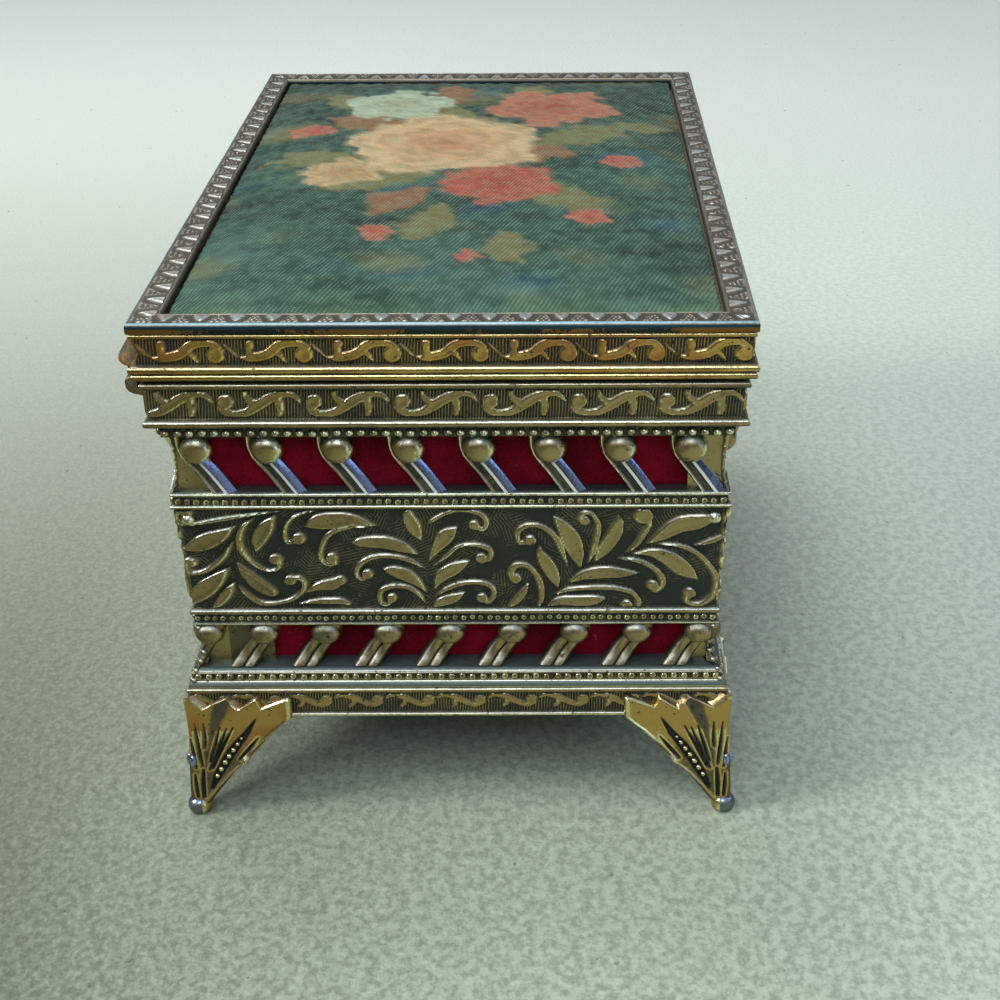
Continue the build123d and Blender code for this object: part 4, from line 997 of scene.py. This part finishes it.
def wing(flip):
    """One wing as loops from the corner out to its inner edge: up the front, and down the back. flip is
    1 where the corner is at the run's left, -1 where it is at its right."""
    share, rise = np.linspace(0, 1, wing_columns)[:, None], np.linspace(0, 1, wing_rows)
    top = np.interp(wing_top_start + share * wing_top_length, *wing_top.T)
    height = rise * (top - wing_bottom) + wing_bottom
    inset = np.interp(height, *wing_profile.T)
    edge = np.interp(height, *wing_edge.T)
    run = inset + share * (edge - inset)
    grooves, channel, fold = (depth_inside(strokes, run, height)
                              for strokes in (wing_grooves, wing_channel, wing_fold))
    outer = np.clip((edge - run) / 0.45, 0, 1)
    crest = np.clip((top - height) / 0.35, 0, 1)
    border = np.exp(-((top - height - 0.4) / 0.2) ** 2) * (height > 12)
    inner_border = np.exp(-((edge - run - 0.55) / 0.3) ** 2) * (height > 1)
    cut = 0.45 * np.clip((grooves + 0.1) / 0.3, 0, 1) + 0.6 * np.clip((channel + 0.05) / 0.35, 0, 1)
    cut += 0.36 * np.clip((fold + 0.3) / 0.8, 0, 1) - 0.22 * border - 0.25 * inner_border
    dome = np.sqrt(1 - (1 - outer) ** 2) * np.sqrt(1 - (1 - crest) ** 2)
    corner_knob = np.exp(-((height - 8.4) / 1.1) ** 2 - ((run - 0.9) / 0.7) ** 2)
    inner_knob = np.exp(-((height - 8.6) / 0.7) ** 2 - ((run - 9.1) / 0.6) ** 2)
    swell = 0.3 * corner_knob + 0.45 * inner_knob
    front = inset + (cut + 0.5 * (1 - dome) - swell) * np.clip(share * 12, 0, 1)
    flats = 0.78 - 0.4 * np.clip((13.0 - height) / 4, 0, 1) - 0.5 * np.clip((fold + 0.2) / 0.7, 0, 1)
    ridges = 0.62 * np.exp(-((grooves + 0.22) / 0.12) ** 2) * (height < 14)
    flats += ridges - np.clip(grooves / 0.2 + 0.5, 0, 1) - 0.9 * np.clip(channel / 0.2 + 0.3, 0, 1)
    wear_and_painted_light = np.minimum(np.clip(flats, 0, 1.1) + 0.4 * border + 0.6 * inner_border + 0.4 * inner_knob, 1.2)
    run = front + share * (edge - front)
    back_height = wing_back_rise * (top - wing_bottom) + wing_bottom
    back_inset = np.interp(back_height, *wing_back.T)
    back_run = back_inset + share * (np.interp(back_height, *wing_edge.T) - back_inset)
    loops = np.concatenate([
        np.stack([run, front, height], -1), np.stack([back_run, back_inset, back_height], -1)], 1)
    # The stud at the corner edge: its blue colour is a painted reflection.
    points, corners, sizes, shine = bead(0.6)
    stud = (points * (0.9, 0.9, 1.9) + (1.2, 0.5, 8.5), corners, sizes, 0 * shine + 1.7)
    parts = [tube(loops, np.concatenate([wear_and_painted_light, np.full(back_run.shape, 0.1)], 1)), stud]
    for bead_run, climb, radius in wing_beads:
        channel_inset = np.interp(climb, *wing_profile.T) + 0.32
        parts.append(scatter(bead(radius), [(bead_run, channel_inset, climb)]))
    return [(points * (flip, 1, 1), *rest) for points, *rest in parts]


# The toe is a turned ball: bare steel on the side that faces out of the box's corner, with a painted blue
# reflection on its top there, and gilt round the rest
toe_middle = (1.25, 1.25, 0)
turn = np.linspace(0, 2 * np.pi, 24, endpoint=False)
around = np.stack([np.cos(turn), np.sin(turn), 0 * turn], -1)
toe_loops = toe_profile[:, None, :1] * around + toe_profile[:, None, 1:2] * (0, 0, 1)
steel_and_painted_reflection_share = np.clip(0.5 + 2 * (np.cos(turn - 1.25 * np.pi) - 0.25), 0, 1)
toe_points, *toe_rest = tube(toe_loops + toe_middle, 0.9 + (toe_profile[:, 2:] - 0.9) * steel_and_painted_reflection_share)
foot_gilt = gilt("foot_gilt", warm=0.45, hatch=0.0)
foot_names = ("foot_front_left", "foot_front_right", "foot_rear_right", "foot_rear_left")
for left_side, name in enumerate(foot_names):
    parts = []
    for side, flip in ((left_side, 1), ((left_side - 1) % 4, -1)):
        corner = (flip * half_runs[side], 0, 0)
        parts += [faced((points - corner, *rest), side) for points, *rest in wing(flip)]
    parts.append(faced((toe_points - (half_runs[left_side], 0, 0), *toe_rest), left_side))
    casting(name + "_casting", parts, foot_gilt, "case", name)


# The linings: card boards covered in crimson velvet, standing on the shelf behind the walls. The velvet is
# what shows through the galleries, and it bulges a little into the upper one.
def velvet():
    """Crimson pile: deep red, lighter where it is brushed over, with a few lint flecks."""
    cloth = Finish("velvet")
    pile = cloth.noise(2200, 3)
    brushed = cloth.step(cloth.noise(90, 4) + pile * 0.4, 0.45, 0.95)
    lint = cloth.step(cloth.noise(700, 2), 0.72, 0.78)
    return cloth.paint(
        Base_Color=cloth.coats((0.075, 0.001, 0.005), (brushed, (0.26, 0.004, 0.02)),
                               (lint * 0.35, (0.35, 0.12, 0.14))),
        Roughness=0.95,
        Sheen_Weight=0.35,
        Sheen_Roughness=0.4,
        Sheen_Tint=(0.6, 0.05, 0.1),
        Specular_IOR_Level=0.1,
        Normal=cloth.bump(pile, 0.00025),
    )


velvet_cloth = velvet()
lining_bottom, lining_top = 20.0, 71.2
window_bottom, window_top = 53.6, 64.2
# A board's section, as shares of (half thickness, half height): up its face, and down its back
face_rise = np.linspace(-1, 1, 70)
board_section = np.concatenate([
    np.stack([0 * face_rise + 0.98, face_rise * 0.99], -1),
    [(0.9, 1.0), (-0.9, 1.0), (-1, 0.98), (-1, -0.98), (-0.9, -1.0), (0.9, -1.0)],
])
for name, side, end_inset in (
    ("front_lining", 0, 5.5), ("right_lining", 1, 7.1), ("rear_lining", 2, 5.5), ("left_lining", 3, 7.1),
):
    half_run = half_runs[side] - end_inset
    runs = np.linspace(-half_run, half_run, 90)[:, None]
    ends = np.clip((half_run - np.abs(runs)) / 0.5, 0, 1) ** 0.5 * 0.3 + 0.7
    thick, tall = board_section.T
    height = (lining_bottom + lining_top) / 2 + tall * (lining_top - lining_bottom) / 2 + 0 * runs
    swell = np.clip(np.minimum(height - window_bottom, window_top - height), 0, 1) * (thick > 0.5)
    inset = 6.25 - thick * 0.75 * ends + 0.02 * np.sin(runs * 0.8) - 1.1 * swell
    loops = np.stack([runs + 0 * inset, inset, height], -1)
    casting(name + "_velvet", [faced(tube(loops, 1.0), side)], velvet_cloth, "case", name)


# The padded pieces: cloth drawn over wadding. Each starts as a crowned closed form, swells a little as the
# wadding presses on the cloth, and keeps its edge where it is glued down.
def pillow(name, half_x, half_y, base, edge, crown, direction, cells=2.0):
    """A closed pad on a flat foot. Its crown rises as the square root of a product of two factors: for each
    way over the plan, one less the fourth power of the share of the way from the middle to the edge."""
    crowding = np.pi / 2 * 0.92
    x, y = (np.sin(np.linspace(-1, 1, round(2 * half / cells) + 1) * crowding) / math.sin(crowding)
            for half in (half_x, half_y))
    u, v = np.meshgrid(x, y, indexing="ij")
    swell = ((1 - u ** 4) * (1 - v ** 4)) ** 0.5
    base = base + datum
    top = base + direction * (edge + crown * swell)
    upper = np.stack([u * half_x, v * half_y, top], -1) / 1000
    lower = np.stack([u * half_x, v * half_y, np.full_like(u, base)], -1) / 1000
    index = np.arange(u.size).reshape(u.shape)
    over = np.stack([index[:-1, :-1], index[1:, :-1], index[1:, 1:], index[:-1, 1:]], -1).reshape(-1, 4)
    under = over[:, ::-1] + u.size
    rim = np.concatenate([index[:, 0], index[-1, 1:], index[-2::-1, -1], index[0, -2:0:-1]])
    beyond = np.roll(rim, -1)
    wall = np.stack([rim, rim + u.size, beyond + u.size, beyond], -1)
    quads = np.concatenate([over, under, wall])
    points = np.concatenate([upper.reshape(-1, 3), lower.reshape(-1, 3)])
    sizes = np.full(len(quads), 4)
    mesh = new_mesh(name, points, outwards(points, quads.ravel(), sizes), sizes)
    pad = bpy.data.objects.new(name, mesh)
    scene.collection.objects.link(pad)
    return pad, np.concatenate([rim, np.arange(u.size, 2 * u.size)])


simulation_scale = 10
simulation_frames = 20


def stuffed(pad, held, pressure, limit):
    """The wadding's swell by cloth simulation, at ten times the size so that it stays steady, with the held
    points pinned and no point moving more than `limit` metres; then one subdivision."""
    before = np.array([v.co for v in pad.data.vertices])
    pad.data.transform(Matrix.Scale(simulation_scale, 4))
    group = pad.vertex_groups.new(name="held")
    group.add([int(i) for i in held], 1.0, "REPLACE")
    cloth = pad.modifiers.new("swell", "CLOTH")
    cloth.settings.quality = 5
    cloth.settings.mass = 0.3
    cloth.settings.use_pressure = True
    cloth.settings.uniform_pressure_force = pressure
    cloth.settings.vertex_group_mass = "held"
    cloth.settings.effector_weights.gravity = 0
    cloth.settings.tension_stiffness = 12
    cloth.settings.bending_stiffness = 0.3
    cloth.collision_settings.use_collision = False
    cloth.point_cache.frame_start = 1
    cloth.point_cache.frame_end = simulation_frames
    for tick in range(1, simulation_frames + 1):
        scene.frame_set(tick)
    swollen = pad.evaluated_get(bpy.context.evaluated_depsgraph_get()).to_mesh()
    after = np.array([v.co for v in swollen.vertices]) / simulation_scale
    pad.modifiers.remove(cloth)
    pad.vertex_groups.clear()
    scene.frame_set(1)
    pad.data.transform(Matrix.Scale(1 / simulation_scale, 4))
    shift = after - before
    length = np.linalg.norm(shift, axis=1, keepdims=True)
    soft = limit * np.tanh(length / limit) / np.maximum(length, 1e-9)
    pad.data.vertices.foreach_set("co", (before + shift * soft).astype(np.float32).ravel())
    finer = pad.modifiers.new("finer", "SUBSURF")
    finer.levels = finer.render_levels = 1
    fine = bpy.data.meshes.new_from_object(pad.evaluated_get(bpy.context.evaluated_depsgraph_get()))
    pad.modifiers.clear()
    pad.data = fine
    fine.name = pad.name
    fine.shade_smooth()


def upholster(pad, cloth, body, node):
    """Gives a pad its cloth and its body, and hides the node that it stands for."""
    pad.data.materials.append(cloth)
    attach(pad, body)
    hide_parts(node)


# The floor of the box: a velvet pad glued to its board.
floor_cushion, floor_held = pillow("floor_velvet_pad", 55.75, 34.75, 21.2, 1.55, 1.0, 1)
stuffed(floor_cushion, floor_held, 1.2, 0.0004)
upholster(floor_cushion, velvet_cloth, "case", "floor_pad")


# The lid's lining: a thinner velvet pad that closes the lid from below.
lid_cushion, lid_held = pillow("lid_velvet_pad", 60.85, 39.85, 77.55, 1.75, 0.6, -1)
stuffed(lid_cushion, lid_held, 1.0, 0.0003)
upholster(lid_cushion, velvet_cloth, "lid", "lid_lining_pad")


# The picture pad: printed satin drawn over wadding and held under the rail, crowned, with small puckers
# where the cloth is pulled in at its edge. The print is a spray of garden flowers on a dark green ground.
picture_half_x, picture_half_y = 58.55, 37.55
picture, picture_held = pillow("lid_picture_satin", picture_half_x, picture_half_y, 78.95, 1.6, 1.25, 1, 1.2)
stuffed(picture, picture_held, 1.6, 0.0005)
satin_points = np.array([v.co for v in picture.data.vertices]) * 1000
x, y = satin_points[:, 0], satin_points[:, 1]


def cloudy(x, y, pace, seed):
    """Smooth random clouds, mostly from -1 to 1: a sum of sines in all directions."""
    chance = np.random.default_rng(seed)
    total = np.zeros_like(x)
    for _ in range(9):
        turn, step = chance.uniform(0, 2 * np.pi), pace * chance.uniform(0.6, 1.7)
        total += np.sin((x * math.cos(turn) + y * math.sin(turn)) * step + chance.uniform(0, 6.3))
    return total / 4


# The puckers move the points of the crown, which are higher than crown_foot, most of all near the edge
crown_foot = 81.5
to_side, to_end = picture_half_y - np.abs(y), picture_half_x - np.abs(x)
pull = np.exp(-np.minimum(to_side, to_end) / 3.0)
along_edge = np.where(to_end < to_side, y, x)
puckers = np.sin(along_edge * 1.9 + 1.5 * np.sin(along_edge * 0.37))
satin_points[:, 2] += (satin_points[:, 2] > crown_foot) * pull * 0.10 * puckers
picture.data.vertices.foreach_set("co", (satin_points / 1000).astype(np.float32).ravel())

# The print's ground: dark green with lighter, yellower and bluer clouds, duller behind under a painted
# shade, lighter in front under a painted light, and paler and yellower along the near end
# A painted shade that dulls the print further off
far_painted_shade = 1 - 0.30 * np.clip((x + 10) / 60, 0, 1)
# Paler and yellower towards the near end
near_end_paling = np.exp(-(x + picture_half_x) / 4) * np.clip(0.6 + cloudy(x, y, 0.35, 11), 0, 1.5)
print_colour = np.outer(far_painted_shade, (0.013, 0.048, 0.033))
for share, tint in (
    (far_painted_shade * cloudy(x, y, 0.16, 1), (0.010, 0.022, 0.018)),
    (far_painted_shade * cloudy(x, y * 0.4, 0.8, 2), (0.010, 0.022, 0.014)),
    (far_painted_shade * np.clip(cloudy(x, y, 0.3, 3) - 0.35, 0, 1), (0.12, 0.07, 0.0)),
    (far_painted_shade * np.clip(cloudy(x, y, 0.28, 10) - 0.5, 0, 1), (0.0, 0.02, 0.06)),
    # lighter towards the front: a painted light
    (np.clip(-x / 60, 0, 1), (0.004, 0.014, 0.010)),
    (near_end_paling, (0.05, 0.07, 0.02)),
):
    print_colour += np.outer(share, tint)
brush_x = x + 1.1 * cloudy(x, y, 0.9, 4) + 0.5 * cloudy(x, y, 2.3, 6)
brush_y = y + 1.1 * cloudy(x, y, 0.9, 5) + 0.5 * cloudy(x, y, 2.3, 7)


def dab(colour, share):
    """Lays a colour over the print, as far as share says at each point."""
    share = np.clip(share, 0, 1)[:, None]
    print_colour[:] = print_colour * (1 - share) + np.asarray(colour) * share


def leaf(at_x, at_y, length, turn, colour):
    """A soft pointed leaf with a lighter midrib."""
    u = (brush_x - at_x) * math.cos(turn) + (brush_y - at_y) * math.sin(turn)
    v = -(brush_x - at_x) * math.sin(turn) + (brush_y - at_y) * math.cos(turn)
    half = 0.26 * length * np.clip(1 - (u / length * 2) ** 2, 0, 1)
    dab(colour, half - np.abs(v))
    dab(np.array(colour) * 1.7 + 0.02, (0.25 - np.abs(v)) / 0.3 * (half > 0.4) * 0.6)


def blossom(at_x, at_y, radius, heart, petal, seed):
    """A full rose: rings of petals that turn past each other, light at their lips and deep between."""
    chance = np.random.default_rng(seed)
    reach = np.hypot(brush_x - at_x, brush_y - at_y) / radius
    turn = np.arctan2(brush_y - at_y, brush_x - at_x)
    edge = 1 + 0.09 * np.sin(5 * turn + seed) + 0.04 * np.sin(9 * turn)
    dab(np.array(petal) * 0.75, (edge - reach) * 7)
    for ring, outer in enumerate((0.98, 0.78, 0.58, 0.38, 0.2)):
        start = chance.uniform(0, 6.3)
        fold = outer * (1 + 0.12 * np.sin((5 - ring // 2) * turn + start)) - reach
        lip = np.exp(-(fold / 0.07) ** 2)
        shade = np.exp(-((fold - 0.13) / 0.09) ** 2)
        mixed = np.array(petal) * (1 - ring / 6) + np.array(heart) * ring / 6
        dab(mixed, (fold > 0) * 0.8)
        dab(mixed * 0.45 + np.array(heart) * 0.15, shade * 0.6)
        dab(np.minimum(mixed * 1.4, 0.8), lip * 0.35)


for at_x, at_y, length, turn in (
    (18, -20, 22, -0.9), (30, 6, 26, 0.5), (-4, 14, 24, 2.2), (-14, -16, 20, -2.4), (44, -10, 20, -0.2),
    (6, 26, 18, 1.7), (-26, 4, 18, 2.9), (40, 22, 18, 0.9), (24, -30, 14, -1.4), (-36, -8, 14, 3.3),
):
    leaf(at_x, at_y, length, turn, (0.14, 0.13, 0.045))
for at_x, at_y, length, turn in ((8, -10, 20, -1.6), (26, 18, 20, 1.1), (-16, 10, 18, 2.6), (46, 4, 16, 0.1)):
    leaf(at_x, at_y, length, turn, (0.20, 0.09, 0.035))
blossom(14, 4, 15.5, (0.40, 0.13, 0.05), (0.56, 0.40, 0.21), 3)
blossom(36, -14, 11.0, (0.26, 0.03, 0.02), (0.42, 0.15, 0.08), 5)
blossom(38, 14, 9.5, (0.26, 0.27, 0.15), (0.38, 0.46, 0.33), 8)
blossom(-8, -6, 9.0, (0.27, 0.025, 0.015), (0.38, 0.08, 0.04), 9)
blossom(-2, 20, 6.5, (0.34, 0.17, 0.05), (0.46, 0.33, 0.16), 12)
for at_x, at_y, radius, seed in (
    (-24, -20, 3.4, 14), (-30, 12, 3.0, 15), (22, 28, 3.4, 16), (4, -26, 3.6, 17), (-40, -2, 2.4, 18),
):
    blossom(at_x, at_y, radius, (0.30, 0.03, 0.02), (0.40, 0.12, 0.07), seed)
print_layer = picture.data.attributes.new("print", "FLOAT_COLOR", "POINT")
rgba = np.concatenate([np.clip(print_colour, 0.004, 0.9), np.ones((len(x), 1))], 1)
print_layer.data.foreach_set("color", rgba.astype(np.float32).ravel())

# The satin: ribs that slant over it, finer threads across them with their glints painted into the colour
# as a paler green, and the print below
satin = Finish("printed_satin")
printed = satin.node("Attribute", {"attribute_name": "print"})
weft, warp = satin.axis(satin.place(), 0), satin.axis(satin.place(), 1)
rib_pitch, thread_pitch = 0.00046, 0.000598
wander = satin.noise(60, 2) * 3
ribs = ((weft * 0.94 - warp * 0.34) * (2 * math.pi / rib_pitch) + wander).sine() * 0.5 + 0.5
thread = ((warp * 0.94 + weft * 0.34) * (2 * math.pi / thread_pitch) + wander).sine() * 0.5 + 0.5
# Painted highlights on the threads
painted_thread_glint = thread * (ribs * 0.8 + 0.2) * satin.step(satin.noise(420, 3), 0.3, 0.7)
rubs = satin.step(satin.noise(240, 4), 0.55, 0.8) * 0.2
satin_cloth = satin.paint(
    Base_Color=satin.coats(printed, (rubs, (0.14, 0.22, 0.17)), (painted_thread_glint * 0.66, (0.24, 0.41, 0.29))),
    Roughness=0.62 + satin.noise(200) * 0.14,
    Sheen_Weight=0.1,
    Sheen_Roughness=0.35,
    Specular_IOR_Level=0.3,
    Normal=satin.bump(ribs * 0.4 + thread * 0.6, 0.0001),
)
upholster(picture, satin_cloth, "lid", "lid_picture_pad")


# The hinges: a smooth cast ear on the lid's rear skirt, drawn down in a neck to a bored barrel; and a thin
# leaf on the rim's rear face, whose two arms swell over its bead into the knuckles that hold the pin.
hinge_inset, hinge_height = -0.55, 72.29
barrel_radius, bore_radius = 0.85, 0.47
ear_foot, ear_rise, ear_half, ear_back = 74.3, 5.3, 3.5, 1.0
barrel_half, leaf_half = 2.1, 4.3
arm_middle, arm_half = 3.27, 0.97
# The ear is (inset, share of its height, wear), from its top down the front and back behind; the others
# are (inset, height)
ear_profile = np.array([
    (1.0, 1.0, 0.3), (0.2, 1.0, 0.5), (-0.6, 0.76, 0.45), (-1.4, 0.52, 0.45), (-2.15, 0.3, 0.5),
    (-2.6, 0.17, 0.7), (-2.65, 0.09, 0.9), (-2.4, 0.01, 0.8), (-1.7, -0.03, 0.4), (1.0, -0.03, 0.1),
])
neck_profile = np.array([
    (-0.3, 75.6), (-0.45, 75.1), (-0.45, 74.0), (-0.5, 73.4), (-0.75, 72.95), (-1.1, 72.75), (-1.3, 73.0),
    (-1.35, 74.0), (-1.45, 74.9), (-1.6, 75.5),
])
leaf_profile = np.array([(1.4, 67.5), (0.98, 67.45), (0.86, 67.7), (0.86, 70.9), (0.98, 71.2), (1.4, 71.2)])
knuckle_turns = np.radians(np.arange(-5, 175, 22))
arm_profile = np.concatenate([
    [(0.86, 70.3), (0.3, 70.45), (-0.4, 70.6), (-1.0, 70.95), (-1.34, 71.5)],
    np.stack([hinge_inset - barrel_radius * np.cos(knuckle_turns),
              hinge_height + barrel_radius * np.sin(knuckle_turns)], -1),
    [(0.36, 71.9), (0.45, 71.4), (0.64, 71.2), (1.1, 71.0), (1.1, 70.3)],
])


def slab(profile, middle, half, wear_and_painted_light):
    """A profile (inset, height) carried over a short run, its ends drawn in a little so they look rounded."""
    share = np.array([-1, -0.94, -0.8, 0.8, 0.94, 1])[:, None]
    drawn = np.array([0.86, 0.96, 1, 1, 0.96, 0.86])[:, None]
    centre = profile.mean(0)
    inset, height = (centre[i] + (profile[:, i] - centre[i]) * drawn for i in (0, 1))
    return tube(np.stack([middle + half * share + 0 * inset, inset, height], -1), wear_and_painted_light)


def hinge_barrel(middle, half):
    """A bored barrel about the hinge's axis: loops of its wall's section, carried round."""
    wall = np.array([(-1, bore_radius), (-1, 0.74), (-0.94, barrel_radius),
                     (0.94, barrel_radius), (1, 0.74), (1, bore_radius)])
    round_turns = np.linspace(0, 2 * np.pi, 24, endpoint=False)[:, None]
    return tube(np.stack([
        middle + half * wall[:, 0] + 0 * round_turns, hinge_inset - wall[:, 1] * np.cos(round_turns),
        hinge_height + wall[:, 1] * np.sin(round_turns),
    ], -1), 0.5, ringed=True)


def hinge_ear(middle):
    """The ear's leaf-shaped lump: its profile, lower and less proud towards the leaf's two sides."""
    share = np.sin(np.linspace(-1, 1, 27) * np.pi / 2)[:, None]
    proud = np.sqrt(np.clip(1 - np.abs(share) ** 3.6, 0.02, 1))
    climb = ear_rise * np.clip(1 - np.abs(share) ** 2.6, 0.04, 1)
    inset = ear_back - (ear_back - ear_profile[:, 0]) * proud
    height = ear_foot + ear_profile[:, 1] * climb
    return tube(np.stack([middle + ear_half * share + 0 * inset, inset, height], -1), ear_profile[:, 2])


hinge_gilt = gilt("hinge_gilt", warm=0.9, hatch=0.0)
for place, middle in (("left", 57.2), ("right", -57.2)):
    ear_parts = (hinge_ear(middle), slab(neck_profile, middle, barrel_half, 0.5),
                 hinge_barrel(middle, barrel_half))
    casting("hinge_ear_" + place, [faced(part, 2) for part in ear_parts],
            hinge_gilt, "lid", "lid_hinge_ear_" + place)
    leaf_parts = (slab(leaf_profile, middle, leaf_half, 0.45),
                  slab(arm_profile, middle - arm_middle, arm_half, 0.42),
                  slab(arm_profile, middle + arm_middle, arm_half, 0.42))
    casting("hinge_leaf_" + place, [faced(part, 2) for part in leaf_parts],
            hinge_gilt, "case", "case_hinge_leaf_" + place)


# The plain parts keep their solids: strawboard inside, lacquered sheet and its tabs below, and the pins.
def worn_metal(name, deep, bright, metallic, roughness, scale):
    """The metal of a plain part: two tones in clouds, and a fine grain."""
    metal = Finish(name)
    cloud, grain = metal.noise(scale, 4), metal.noise(1600, 4)
    shade = metal.step(cloud + (grain - 0.5) * 0.4, 0.35, 0.7)
    return metal.paint(Base_Color=metal.blend(shade, deep, bright), Metallic=metallic,
                       Roughness=roughness + (grain - 0.5) * 0.2, Normal=metal.bump(grain, 0.00004))


board = Finish("strawboard")
flecks = board.step(board.noise(1500, 4), 0.55, 0.7)
strawboard = board.paint(
    Base_Color=board.coats((0.30, 0.235, 0.15), (board.noise(120, 3), (0.40, 0.32, 0.21)),
                           (flecks * 0.4, (0.16, 0.12, 0.07))),
    Roughness=0.9,
    Normal=board.bump(flecks, 0.00005),
)
sheet_metal = worn_metal("lacquered_sheet", (0.10, 0.08, 0.045), (0.24, 0.19, 0.10), 0.85, 0.42, 130)
tab_metal = worn_metal("tab_metal", (0.07, 0.06, 0.042), (0.30, 0.26, 0.18), 0.85, 0.42, 420)
pin_steel = worn_metal("pin_steel", (0.25, 0.25, 0.25), (0.5, 0.5, 0.5), 1.0, 0.3, 900)
for name, finish in (
    ("lid_board", strawboard), ("floor_board", strawboard), ("bottom_plate", sheet_metal),
    ("bottom_tabs", tab_metal), ("hinge_pin_left", pin_steel), ("hinge_pin_right", pin_steel),
):
    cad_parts[name].data.materials.clear()
    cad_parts[name].data.materials.append(finish)
